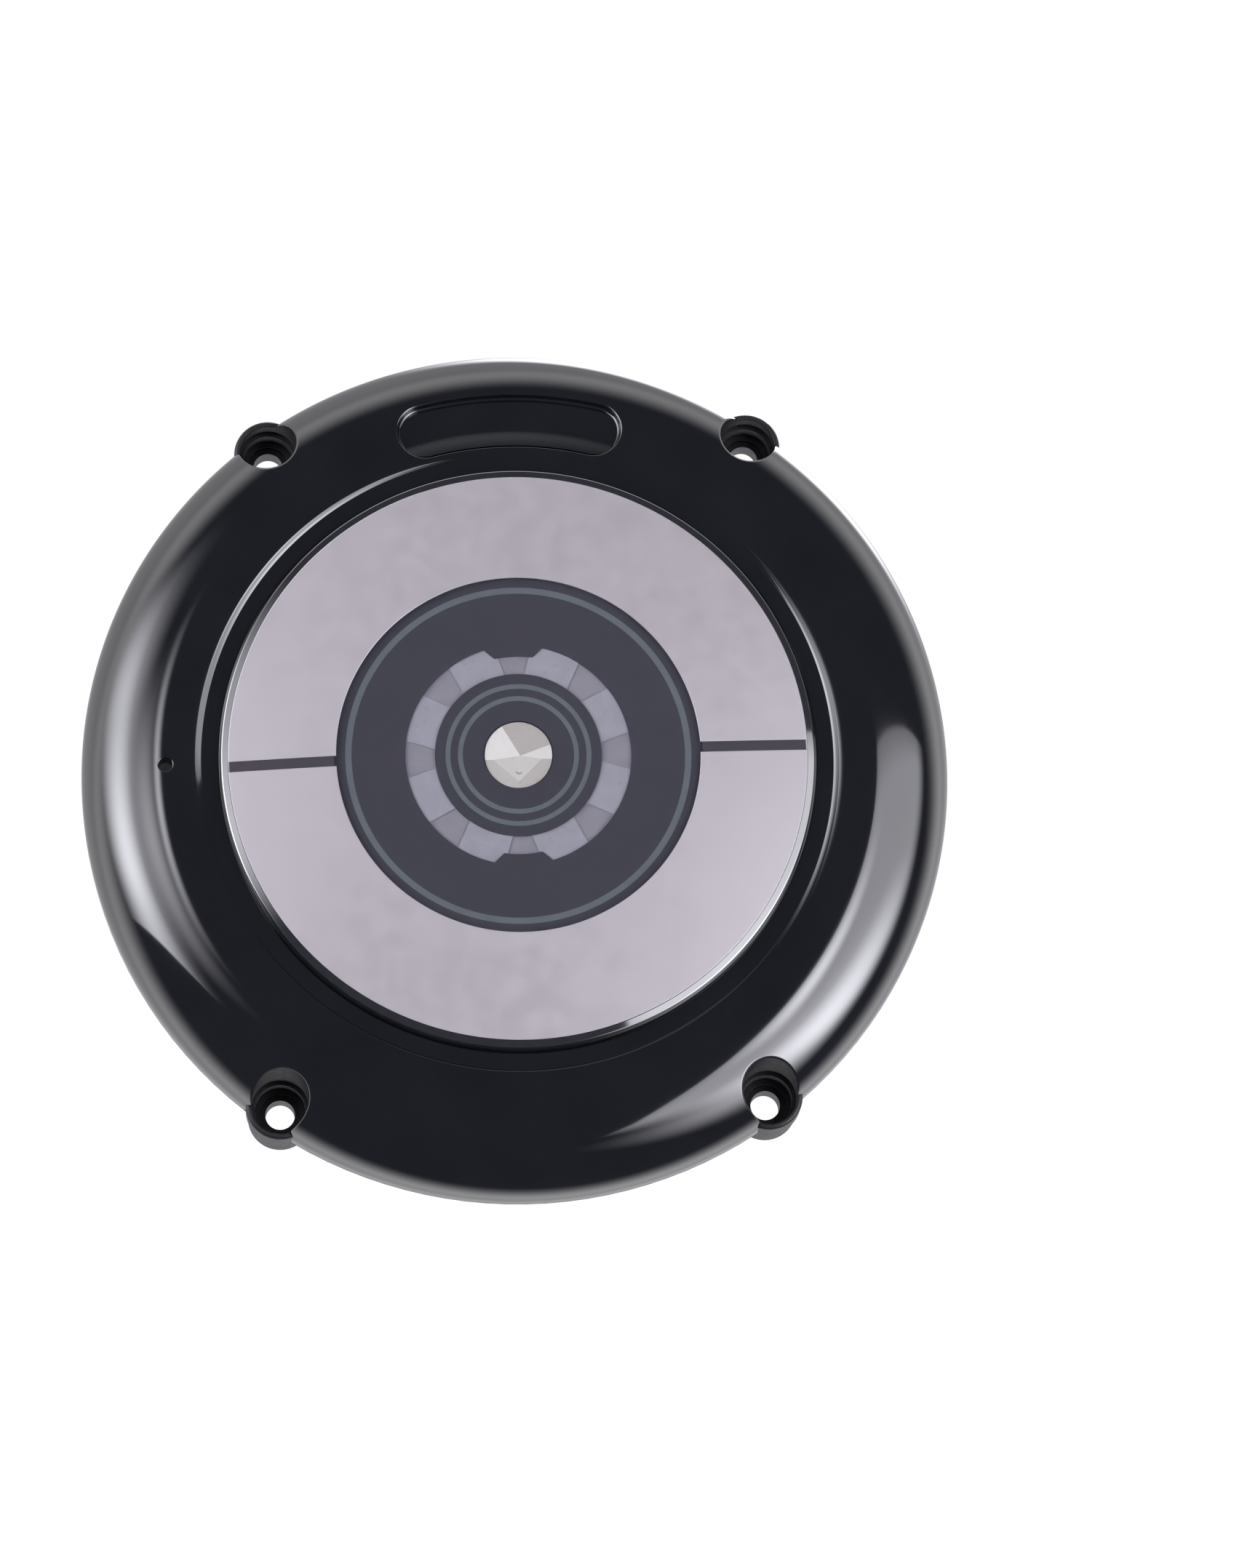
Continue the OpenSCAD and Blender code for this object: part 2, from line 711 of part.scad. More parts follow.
// Pocket in the bracket that holds the boot
module boot_pocket() {
    translate([boot_x - boot_l / 2 - boot_gap - 1, boot_y - boot_w / 2 - boot_gap])
        square([boot_l + 2 * boot_gap + 1, boot_w + 2 * boot_gap]);
    translate([boot_x + boot_l / 2, boot_y - 0.75])
        square([1.05 + boot_gap, 1.5]);
}

module square_recess(spot, turn) {
    translate([spot[0], spot[1], bracket_h - over]) rotate(turn) {
        translate([-square_w / 2, -square_w / 2, 0]) cube([square_w, square_w, square_depth + over]);
    }
}

module inner_bracket() {
    frame_t = 0.5;
    frame_h = 0.4;
    color([0.17, 0.17, 0.2]) upright() difference() {
        union() {
            translate([0, 0, bracket_h]) linear_extrude(bracket_t) difference() {
                bracket_outline();
                boot_pocket();
            }
            // Raised frame round the boot's pocket
            translate([0, 0, bracket_h - frame_h]) linear_extrude(frame_h + 0.1) difference() {
                intersection() {
                    circle(bracket_r);
                    translate([boot_x - boot_l, boot_y - boot_w / 2 - boot_gap - frame_t])
                        square([1.5 * boot_l + 1.2 + frame_t,
                            boot_w + 2 * boot_gap + 2 * frame_t]);
                }
                boot_pocket();
            }
        }
        for (spot = diagonal_squares) square_recess(spot, 60);
        for (spot = grid_squares) square_recess(spot, 0);
        for (spot = stake_spots) translate([spot[0], spot[1], bracket_h - over])
            cylinder(r = stake_r + 0.03, h = bracket_t + 2 * over);
    }
}

// Flex circuit: an arm that carries the two pads, and a tail to the connector
module flex_outline() {
    tail_l = connector_l + tail_over;
    translate(arm_at) rotate(-flex_turn) translate([-arm_l / 2, -arm_w / 2])
        square([arm_l, arm_w]);
    translate(ear_at) circle(ear_r);
    polygon(layout * [[-13.1, -7.98], [-11.5, -10.02], [-1.8, -2.3], [-3.4, -0.28]]);
    translate([-tail_l / 2 - 0.2, -tail_w / 2]) square([tail_l, tail_w]);
}

module flex_circuit() {
    color([0.13, 0.12, 0.12]) upright() translate([0, 0, flex_h]) linear_extrude(flex_t)
        difference() {
            flex_outline();
            translate(ear_at) circle(stake_r + 0.03);
        }
}

module contact_pads() {
    dimple_r = 0.07;
    color([0.95, 0.8, 0.45]) upright() for (spot = pad_spots)
        translate([spot[0], spot[1], pad_h]) difference() {
            cylinder(d = pad_d, h = pad_t);
            translate([0, 0, -over]) cylinder(r = dimple_r, h = pad_t / 2 + over);
        }
}

module board_connector() {
    body = [connector_l, connector_w, connector_h];
    slot = [connector_l - 1.2, 0.55, connector_h / 2];
    color([0.1, 0.1, 0.11]) upright() translate([-0.2, 0, flex_h - body[2]]) difference() {
        translate([-body[0] / 2, -body[1] / 2, 0]) cube(body);
        translate([-slot[0] / 2, -slot[1] / 2, -over]) cube([slot[0], slot[1], slot[2] + over]);
    }
}

module heat_stakes() {
    head_t = 0.14;
    tip_h = 0.3;
    color([0.12, 0.12, 0.14]) upright() for (i = [0:len(stake_spots) - 1]) {
        seat = i == 0 ? flex_h : bracket_h;
        translate([stake_spots[i][0], stake_spots[i][1], seat]) {
            translate([0, 0, -head_t]) cylinder(r = stake_head_r, h = head_t);
            translate([0, 0, -tip_h]) cylinder(r = stake_r, h = tip_h + floor_h - seat);
        }
    }
}

// Boot's body: a square with one long cut corner and one short
module boot_outline(inset) {
    l = boot_l / 2 - inset;
    w = boot_w / 2 - inset;
    translate([boot_x, boot_y]) polygon([[l, -w], [l, w - 0.9], [l - 0.9, w],
        [-l + 0.9, w], [-l, w - 0.9], [-l, -w + 0.35], [-l + 0.35, -w]]);
}

module vent_boot() {
    chamfer = 0.25;
    neck_r = membrane_r - 0.05;
    ring_r = boot_hole_d / 2 + 0.2;
    color([0.8, 0.83, 0.86]) upright() difference() {
        union() {
            translate([0, 0, boot_top + chamfer]) linear_extrude(boot_h - chamfer)
                boot_outline(0);
            translate([0, 0, boot_top]) linear_extrude(boot_h) boot_outline(chamfer);
            translate([boot_x + boot_l / 2 - 0.1, boot_y - 0.64, boot_top + boot_h - 0.6])
                cube([1.05, 1.28, 0.5]);
            translate([membrane_x, 0, boot_seat - boot_shoulder - 0.1])
                cylinder(r = neck_r, h = boot_shoulder + 0.1);
        }
        translate([boot_hole_x, boot_y, boot_top - over])
            cylinder(d = boot_hole_d, h = boot_h + 2 * over);
        translate([boot_hole_x, boot_y, boot_top - over]) cylinder(r = ring_r, h = over + 0.12);
        translate([membrane_x, 0, boot_seat - 0.3]) cylinder(r = neck_r - 0.25, h = 0.3 + over);
    }
}

module vent_membrane() {
    color([0.9, 0.9, 0.92]) upright() translate([membrane_x, 0, boot_seat])
        cylinder(r = membrane_r, h = membrane_t);
}

// Clip with three fingers that holds the boot against the wall side
module boot_clip() {
    spine_x = boot_x - boot_l / 2 - 0.05;
    spine_t = 0.3;
    finger_l = 0.35;
    half = 1.7;
    color([0.1, 0.1, 0.12]) upright() translate([spine_x, boot_y - 0.1, boot_top + 0.3]) {
        translate([-spine_t, -half, 0]) cube([spine_t, 2 * half, clip_h]);
        for (y = [-half, -0.22, half - 0.44]) translate([-spine_t - finger_l, y, 0])
            cube([spine_t + finger_l, 0.44, clip_h - 0.3]);
    }
}

rear_shell();
gasket();
cover_glass();
upper_electrode();
lower_electrode();
glass_adhesive();
window_mask();
centre_mask();
outer_line();
centre_lines();
optic_ring();
centre_lens();
outer_barrier();
inner_barrier();
photodiodes();
sensor_leds();
sensor_board();
charging_coil();
ferrite_sheet();
electrode_pins();
inner_bracket();
flex_circuit();
contact_pads();
board_connector();
heat_stakes();
vent_boot();
vent_membrane();
boot_clip();
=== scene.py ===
"""Looks of a round smartwatch back cover, built round its CAD frame.

Drawing coordinates are millimetres, seen from outside: x to the right, v to 12 o'clock, h out of
the cover's outer face. World coordinates are metres, with h along -Y and v along +Z.
"""

import json
import logging
import math
from dataclasses import dataclass, field
from enum import IntEnum
from typing import Iterable, Iterator, Sequence

import bpy
import numpy as np
from mathutils import Matrix, Vector
from mathutils.geometry import delaunay_2d_cdt

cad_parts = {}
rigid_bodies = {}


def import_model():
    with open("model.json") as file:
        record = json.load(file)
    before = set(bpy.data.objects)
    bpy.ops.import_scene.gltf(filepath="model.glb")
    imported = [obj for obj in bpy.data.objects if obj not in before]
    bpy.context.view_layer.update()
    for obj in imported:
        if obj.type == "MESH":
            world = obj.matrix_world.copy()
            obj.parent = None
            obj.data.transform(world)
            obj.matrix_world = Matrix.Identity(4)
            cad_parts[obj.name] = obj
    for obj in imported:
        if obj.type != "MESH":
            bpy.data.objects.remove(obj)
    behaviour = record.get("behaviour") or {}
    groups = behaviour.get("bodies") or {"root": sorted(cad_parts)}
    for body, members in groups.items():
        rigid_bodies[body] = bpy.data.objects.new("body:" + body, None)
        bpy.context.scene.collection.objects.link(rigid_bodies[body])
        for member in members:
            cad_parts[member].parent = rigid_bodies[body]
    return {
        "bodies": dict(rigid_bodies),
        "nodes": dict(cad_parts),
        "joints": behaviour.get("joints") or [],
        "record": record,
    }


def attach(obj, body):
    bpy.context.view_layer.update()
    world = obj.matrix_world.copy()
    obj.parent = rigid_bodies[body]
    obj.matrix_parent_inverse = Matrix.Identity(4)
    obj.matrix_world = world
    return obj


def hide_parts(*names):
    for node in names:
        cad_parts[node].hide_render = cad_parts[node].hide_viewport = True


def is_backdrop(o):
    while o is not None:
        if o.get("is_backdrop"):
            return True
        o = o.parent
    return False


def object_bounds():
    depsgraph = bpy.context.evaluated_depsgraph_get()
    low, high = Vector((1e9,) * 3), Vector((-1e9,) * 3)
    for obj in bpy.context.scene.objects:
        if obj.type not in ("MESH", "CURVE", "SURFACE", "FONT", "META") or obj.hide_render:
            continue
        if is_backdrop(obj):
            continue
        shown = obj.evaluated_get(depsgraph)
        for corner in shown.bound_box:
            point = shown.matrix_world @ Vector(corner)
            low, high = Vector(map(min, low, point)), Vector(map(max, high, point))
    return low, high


MM = 0.001
ROOT = "root"
TAU = 2 * math.pi
QUARTER = math.pi / 2
LOG = logging.getLogger("cover")

Stops = tuple[tuple[float, float], ...]
Arc = tuple[Sequence[float], float, float, float, int]


class ShellSlot(IntEnum):
    """Finishes of the shell, in order."""

    GLOSS = 0
    INSIDE = 1
    BORE = 2


class GlassSlot(IntEnum):
    """Finishes of the glass, in order."""

    CLEAR = 0
    RIM = 1
    PRINT = 2


@dataclass(frozen=True)
class Cover:
    """Sizes in millimetres that the looks share with the frame."""

    outer_r: float = 21.0
    side_h: float = 0.6
    corner_r: float = 3.4
    crown_arc: float = 6.7
    crown_h: float = 4.15
    lip_round: float = 0.8
    lip_x: float = 15.63
    seat_r: float = 14.45
    open_r: float = 12.85
    land_h: float = 3.95
    seat_h: float = 3.8
    floor_h: float = 3.1
    foot_h: float = 3.9
    glass_r: float = 14.35
    plate_r: float = 13.9
    bevel_top: float = 4.63
    bevel_low: float = 4.35
    dome_r: float = 139.0
    window_h: float = 4.83
    window_r: float = 8.74
    split_w: float = 0.47
    window_turn: float = 1.4
    mask_h: float = 4.71
    mask_r: float = 9.09
    boss_x: float = 11.7
    boss_v: float = 16.2
    mouth_r: float = 1.37
    lobe_r: float = 1.65
    lobe_h: float = 1.4
    vent_x: float = -16.9
    vent_r: float = 0.33
    recess_r: float = 16.95
    recess_half_w: float = 1.32
    recess_angle: float = 14.0
    recess_depth: float = 0.45
    gasket_r: float = 20.025
    dodge_r: float = 2.255
    gasket_bend: float = 1.1

    @property
    def boss_at(self) -> float:
        """Distance of a boss from the centre."""
        return math.hypot(self.boss_x, self.boss_v)

    @property
    def bosses(self) -> list[tuple[float, float]]:
        """Centres of the four bosses."""
        return [(sx * self.boss_x, sv * self.boss_v) for sx in (-1, 1) for sv in (-1, 1)]

    @property
    def dome_centre(self) -> float:
        """Height of the centre of the glass's dome."""
        return float(self.dome(0.0)) - self.dome_r

    def dome(self, r: float | np.ndarray) -> float | np.ndarray:
        """Height of the glass's dome at a distance r from the cover's centre."""
        top = self.bevel_top + self.dome_r - math.sqrt(self.dome_r**2 - self.plate_r**2)
        return top - self.dome_r + np.sqrt(self.dome_r**2 - np.square(r))


def unit(v: np.ndarray) -> np.ndarray:
    """Scales each row to length one."""
    return v / np.maximum(np.linalg.norm(v, axis=-1, keepdims=True), 1e-12)


def polar(r: float | np.ndarray, a: float | np.ndarray) -> np.ndarray:
    """Rows of (x, v) at radii r and angles a."""
    return np.stack((r * np.cos(a), r * np.sin(a)), axis=-1)


def turned(xy: np.ndarray, angle: float) -> np.ndarray:
    """Turns rows of (x, v) to the left by an angle in radians."""
    c, s = math.cos(angle), math.sin(angle)
    return xy @ np.array([[c, s], [-s, c]])


def at_height(xy: np.ndarray, h: float | np.ndarray) -> np.ndarray:
    """Rows of (x, v, h) from rows of (x, v)."""
    return np.column_stack((xy, np.broadcast_to(h, len(xy))))


def arcs(rows: Iterable[Arc]) -> np.ndarray:
    """Joins arcs to one outline.

    Args:
        rows: Centre, radius, first and last angle, and number of steps of each arc.

    Returns:
        Rows of (x, v), without the last point of each arc.
    """
    return np.concatenate(
        [c + polar(r, np.linspace(a0, a1, n, endpoint=False)) for c, r, a0, a1, n in rows]
    )


def triangles(
    points: Iterable[Sequence[float]], edges: Sequence[tuple[int, int]], near: float
) -> tuple[np.ndarray, np.ndarray]:
    """Joins points to triangles.

    Args:
        points: Rows of (x, v).
        edges: Pairs of points that stay joined.
        near: Distance below which points are one.

    Returns:
        The points, and the corners of each triangle.
    """
    out = delaunay_2d_cdt([Vector(p) for p in points], edges, [], 0, near)
    return np.array([tuple(v) for v in out[0]]), np.array([f for f in out[2] if len(f) == 3])


@dataclass
class Section:
    """Line in (across, height) with outward normals to the right of its direction."""

    points: np.ndarray
    normals: np.ndarray

    @classmethod
    def rounded(
        cls, corners: Sequence[tuple[float, ...]], closed: bool = False, turn: float = 12.0
    ) -> "Section":
        """Polyline whose corners are rounded.

        Args:
            corners: Rows of (across, height, radius); a row without a radius stays sharp.
            closed: Whether the last corner joins the first.
            turn: Greatest step of an arc in degrees.

        Returns:
            The section with a normal at each point.
        """
        pts = np.array([c[:2] for c in corners], float)
        ways = unit(np.roll(pts, -1, axis=0) - pts)
        ends = 0 if closed else 1
        rows = [] if closed else [(pts[0], ways[0])]
        for i in range(ends, len(pts) - ends):
            radius = corners[i][2] if len(corners[i]) > 2 else 0.0
            before, after = ways[i - 1], ways[i]
            cross = before[0] * after[1] - before[1] * after[0]
            swing = math.atan2(cross, float(before @ after))
            if radius <= 0 or abs(swing) < 1e-6:
                rows += [(pts[i], before), (pts[i], after)]
                continue
            reach = math.copysign(radius, swing)
            start = pts[i] - before * radius * math.tan(abs(swing) / 2)
            centre = start + reach * turned(before, QUARTER)
            steps = max(2, math.ceil(abs(math.degrees(swing)) / turn))
            for k in range(steps + 1):
                way = turned(before, swing * k / steps)
                rows.append((centre - reach * turned(way, QUARTER), way))
        rows.append(rows[0] if closed else (pts[-1], ways[-2]))
        points, along = (np.array(column) for column in zip(*rows))
        return cls(points, np.column_stack((along[:, 1], -along[:, 0])))


@dataclass
class Track:
    """Closed path in plan that a section is swept along."""

    points: np.ndarray
    outward: np.ndarray

    @classmethod
    def circle(cls, centre: tuple[float, float] = (0.0, 0.0), steps: int = 240) -> "Track":
        """Track that turns a section round a point.

        Args:
            centre: Point in plan.
            steps: Number of columns.

        Returns:
            The track.
        """
        return cls(np.tile(centre, (steps, 1)), polar(1.0, np.arange(steps) * TAU / steps))

    @classmethod
    def dodged(cls, size: Cover, step: float = 0.35, bend_below: float = 3.0) -> "Track":
        """Gasket's middle line, which turns in round each boss.

        Args:
            size: The cover's sizes.
            step: Length between points in millimetres.
            bend_below: Radius below which the points are three times as close.

        Returns:
            The track.
        """
        at = size.gasket_r - size.gasket_bend
        reach = size.dodge_r + size.gasket_bend
        swing = math.acos((size.boss_at**2 + at**2 - reach**2) / (2 * size.boss_at * at))
        turns = sorted(math.atan2(v, x) % TAU for x, v in size.bosses)
        points, outward = [], []
        for beta, follow in zip(turns, [*turns[1:], turns[0] + TAU]):
            boss = polar(size.boss_at, beta)
            before, after = polar(at, beta - swing), polar(at, beta + swing)
            across, along = boss - before
            lean = math.atan2(along, across)
            lean += TAU * round((beta - lean) / TAU)
            back = 2 * beta - lean
            for centre, r, a0, a1, side in (
                (before, size.gasket_bend, beta - swing, lean, 1),
                (boss, size.dodge_r, lean, back, -1),
                (after, size.gasket_bend, back, beta + swing, 1),
                (np.zeros(2), size.gasket_r, beta + swing, follow - swing, 1),
            ):
                fine = 3 if r < bend_below else 1
                steps = max(4, math.ceil(abs(a1 - a0) * r / step * fine))
                out = polar(1.0, np.linspace(a0, a1, steps, endpoint=False))
                points.append(centre + side * r * out)
                outward.append(out)
        return cls(np.concatenate(points), np.concatenate(outward))


@dataclass
class Draft:
    """Mesh under construction, with a normal at each corner."""

    points: list[np.ndarray] = field(default_factory=list)
    normals: list[np.ndarray] = field(default_factory=list)
    faces: list[tuple[int, ...]] = field(default_factory=list)
    slots: list[int] = field(default_factory=list)
    tones_and_painted_light: list[float] = field(default_factory=list)
    count: int = 0

    def add(
        self,
        points: np.ndarray,
        normals: Sequence[float] | np.ndarray,
        faces: Iterable[Sequence[int]],
        slot: int = 0,
        tone_and_painted_light: float = 0.5,
    ) -> None:
        """Adds a patch in drawing coordinates and turns its faces outward.

        Args:
            points: Rows of (x, v, h).
            normals: One outward normal a point, or one for all.
            faces: Corner indices of each face.
            slot: Material slot of the patch.
            tone_and_painted_light: Value of the patch's tone_and_painted_light attribute, which the
                lens reads as painted light and shade.
        """
        normals = unit(np.broadcast_to(np.asarray(normals, float), points.shape))
        for face in faces:
            f = list(dict.fromkeys(int(i) for i in face))
            if len(f) < 3:
                continue
            c = points[f] - points[f[0]]
            n = np.cross(c, np.roll(c, -1, axis=0)).sum(axis=0)
            if np.linalg.norm(n) < 1e-9:
                continue
            if n @ normals[f].sum(axis=0) < 0:
                f.reverse()
            self.faces.append(tuple(i + self.count for i in f))
            self.slots.append(slot)
            self.tones_and_painted_light.append(tone_and_painted_light)
        self.points.append(points)
        self.normals.append(normals)
        self.count += len(points)

    def sweep(self, track: Track, section: Section, slot: int = 0, tone_and_painted_light: float = 0.5) -> None:
        """Sweeps a section along a track.

        Args:
            track: Path in plan.
            section: Line swept along it.
            slot: Material slot.
            tone_and_painted_light: Value of the tone_and_painted_light attribute, painted light and
                shade on the lens.
        """
        cols, rows = len(track.points), len(section.points)
        out = track.outward[:, None, :]
        plan = track.points[:, None, :] + out * section.points[None, :, :1]
        points = self.stacked(plan, section.points[:, 1])
        normals = self.stacked(out * section.normals[None, :, :1], section.normals[:, 1])
        pairs = zip(section.points, section.points[1:])
        spans = [i for i, (p, q) in enumerate(pairs) if not np.allclose(p, q, atol=1e-9)]
        faces = [
            (j * rows + i, k * rows + i, k * rows + i + 1, j * rows + i + 1)
            for j, k in zip(range(cols), [*range(1, cols), 0])
            for i in spans
        ]
        self.add(points, normals, faces, slot, tone_and_painted_light)

    @staticmethod
    def stacked(plan: np.ndarray, h: np.ndarray) -> np.ndarray:
        """Rows of (x, v, h) from a grid in plan and the heights of its rows."""
        return np.dstack((plan, np.broadcast_to(h, plan.shape[:2]))).reshape(-1, 3)

    def strip(
        self, first: np.ndarray, second: np.ndarray, normals: np.ndarray, slot: int = 0
    ) -> None:
        """Joins two closed outlines by a band.

        Args:
            first: Rows of (x, v, h).
            second: As many rows.
            normals: One outward normal a row.
            slot: Material slot.
        """
        k = np.arange(len(first))
        after = np.roll(k, -1)
        faces = np.column_stack((k, after, len(k) + after, len(k) + k))
        self.add(np.concatenate((first, second)), np.tile(normals, (2, 1)), faces, slot)

    def build(self, name: str, finishes: Sequence[bpy.types.Material]) -> bpy.types.Object:
        """Makes the object, merging points that share a place.

        Args:
            name: Name of the object.
            finishes: Its materials, one a slot.

        Returns:
            The object, in world coordinates.
        """
        p, n = np.concatenate(self.points), np.concatenate(self.normals)
        world, facing = (np.column_stack((v[:, 0], -v[:, 2], v[:, 1])) for v in (p * MM, n))
        _, first, back = np.unique(np.round(p, 4), axis=0, return_index=True, return_inverse=True)
        back = back.reshape(-1)
        faces, normals, slots, tones_and_painted_light = [], [], [], []
        for f, slot, tone_and_painted_light in zip(self.faces, self.slots, self.tones_and_painted_light):
            merged = [int(back[i]) for i in f]
            keep = [k for k in range(len(f)) if merged[k] != merged[k - 1]]
            if len({merged[k] for k in keep}) < 3:
                continue
            faces.append([merged[k] for k in keep])
            normals.extend(facing[f[k]] for k in keep)
            slots.append(slot)
            tones_and_painted_light.append(tone_and_painted_light)
        mesh = bpy.data.meshes.new(name)
        mesh.from_pydata(world[first].tolist(), [], faces)
        for finish in finishes:
            mesh.materials.append(finish)
        mesh.polygons.foreach_set("material_index", slots)
        mesh.polygons.foreach_set("use_smooth", [True] * len(faces))
        mesh.attributes.new("tone_and_painted_light", "FLOAT", "FACE").data.foreach_set("value", tones_and_painted_light)
        mesh.update()
        mesh.normals_split_custom_set([tuple(v) for v in normals])
        obj = bpy.data.objects.new(name, mesh)
        bpy.context.scene.collection.objects.link(obj)
        LOG.info("%s: %d faces", name, len(faces))
        return obj


class Graph:
    """Adds nodes to a tree and joins them."""

    def __init__(self, tree: bpy.types.NodeTree) -> None:
        """Keeps a tree and empties it."""
        self.tree = tree
        tree.nodes.clear()

    def feed(self, socket: bpy.types.NodeSocket, value: object) -> None:
        """Links a socket to another one, or sets it to a constant."""
        if isinstance(value, bpy.types.NodeSocket):
            self.tree.links.new(value, socket)
        else:
            socket.default_value = value

    def add(
        self, kind: str, inputs: dict[str | int, object] | None = None, **settings: object
    ) -> bpy.types.Node:
        """Adds a node.

        Args:
            kind: Type of the node.
            inputs: Constant or socket for each input, by name or place.
            **settings: Properties of the node.

        Returns:
            The node.
        """
        node = self.tree.nodes.new(kind)
        for name, value in settings.items():
            setattr(node, name, value)
        for key, value in (inputs or {}).items():
            self.feed(node.inputs[key], value)
        return node

    def calc(self, operation: str, first: object, second: object) -> bpy.types.NodeSocket:
        """Joins two values by a Math node and gives its result."""
        return self.add("ShaderNodeMath", {0: first, 1: second}, operation=operation).outputs[0]

    def mix(
        self, value: bpy.types.NodeSocket, first: object, second: object
    ) -> bpy.types.NodeSocket:
        """Mixes two colours.

        Args:
            value: Socket of the factor.
            first: Colour at 0, or a socket.
            second: Colour at 1, or a socket.

        Returns:
            The socket of the colour.
        """
        node = self.add("ShaderNodeMix", {"Factor": value}, data_type="RGBA")
        sockets = [s for s in node.inputs if s.type == "RGBA"]
        for socket, colour in zip(sockets, (first, second)):
            self.feed(socket, (*colour, 1.0) if isinstance(colour, tuple) else colour)
        return [s for s in node.outputs if s.type == "RGBA"][0]

    def ramp(self, value: bpy.types.NodeSocket, stops: Stops) -> bpy.types.NodeSocket:
        """Turns a value from 0 to 1 into a brightness by smooth stops.

        Args:
            value: Socket to read.
            stops: Rows of (place, brightness), brightness at most 1.

        Returns:
            The socket of the brightness.
        """
        node = self.add("ShaderNodeValToRGB", {"Fac": value})
        node.color_ramp.interpolation = "EASE"
        marks = node.color_ramp.elements
        marks[0].position, marks[1].position = stops[0][0], stops[-1][0]
        for k, (place, level) in enumerate(stops):
            mark = marks[0] if k == 0 else marks[-1] if k == len(stops) - 1 else marks.new(place)
            mark.color = (level, level, level, 1.0)
        return node.outputs["Color"]


class Paint(Graph):
    """Node material whose texture runs in object coordinates."""

    RELIEF_DEPTH = 0.00002

    def __init__(self, name: str) -> None:
        """Starts a material.

        Args:
            name: Name of the material.
        """
        self.material = bpy.data.materials.new(name)
        self.material.use_nodes = True
        super().__init__(self.material.node_tree)
        self.surface = self.add("ShaderNodeBsdfPrincipled")
        self.output = self.add("ShaderNodeOutputMaterial", {"Surface": self.surface.outputs[0]})
        self.where = self.add("ShaderNodeTexCoord").outputs["Object"]

    def noise(self, scale: float, detail: float = 2.0) -> bpy.types.NodeSocket:
        """Adds a noise texture of so many cells a metre and gives its value."""
        inputs = {"Vector": self.where, "Scale": scale, "Detail": detail}
        return self.add("ShaderNodeTexNoise", inputs).outputs[0]

    def span(
        self,
        value: bpy.types.NodeSocket,
        low: float,
        high: float,
        start: float = 0.3,
        end: float = 0.7,
    ) -> bpy.types.NodeSocket:
        """Maps a value from one span to another.

        Args:
            value: Socket to map.
            low: Result at the start.
            high: Result at the end.
            start: Start of the source span.
            end: End of the source span.

        Returns:
            The socket of the result.
        """
        inputs = {"Value": value, "From Min": start, "From Max": end, "To Min": low, "To Max": high}
        return self.add("ShaderNodeMapRange", inputs).outputs[0]

    def dress(self, looks: dict[str, object]) -> bpy.types.Material:
        """Sets or links inputs of the surface and gives the material."""
        for name, value in looks.items():
            self.feed(self.surface.inputs[name], value)
        return self.material

    def bump(self, height: bpy.types.NodeSocket, strength: float, soft: float) -> None:
        """Adds relief and softened edges.

        Args:
            height: Socket of the relief.
            strength: Strength of the relief.
            soft: Radius of softened edges in metres, or 0.
        """
        inputs = {"Strength": strength, "Distance": self.RELIEF_DEPTH, "Height": height}
        if soft:
            inputs["Normal"] = self.add("ShaderNodeBevel", {"Radius": soft}, samples=6).outputs[0]
        self.dress({"Normal": self.add("ShaderNodeBump", inputs).outputs[0]})


@dataclass(frozen=True)
class Finish:
    """Look of one surface."""

    base: tuple[float, float, float]
    rough: float
    metal: float = 0.0
    vary: float = 0.12
    grain: float = 1500.0
    relief: float = 0.0
    relief_scale: float = 6000.0
    soft: float = 0.0
    level: float = 0.5
    subsurface: float = 0.0
    ior: float = 1.45

    ROUGH_VARY = 0.12
    ROUGH_GRAIN = 2.3

    def make(self, name: str) -> bpy.types.Material:
        """Makes the material of that name.

        Args:
            name: Name of the material.

        Returns:
            The material.
        """
        tree = Paint(name)
        low, high = (tuple(c * k for c in self.base) for k in (1 - self.vary, 1 + self.vary))
        wander = tree.noise(self.grain * self.ROUGH_GRAIN, 3.0)
        rough = [self.rough * (1 + k * self.ROUGH_VARY) for k in (-1, 1)]
        if self.relief or self.soft:
            tree.bump(tree.noise(self.relief_scale, 3.0), self.relief, self.soft)
        return tree.dress(
            {
                "Base Color": tree.mix(tree.span(tree.noise(self.grain), 0, 1), low, high),
                "Roughness": tree.span(wander, *rough),
                "Metallic": self.metal,
                "Specular IOR Level": self.level,
                "IOR": self.ior,
                "Subsurface Weight": self.subsurface,
                "Subsurface Radius": (0.001, 0.001, 0.001),
            }
        )


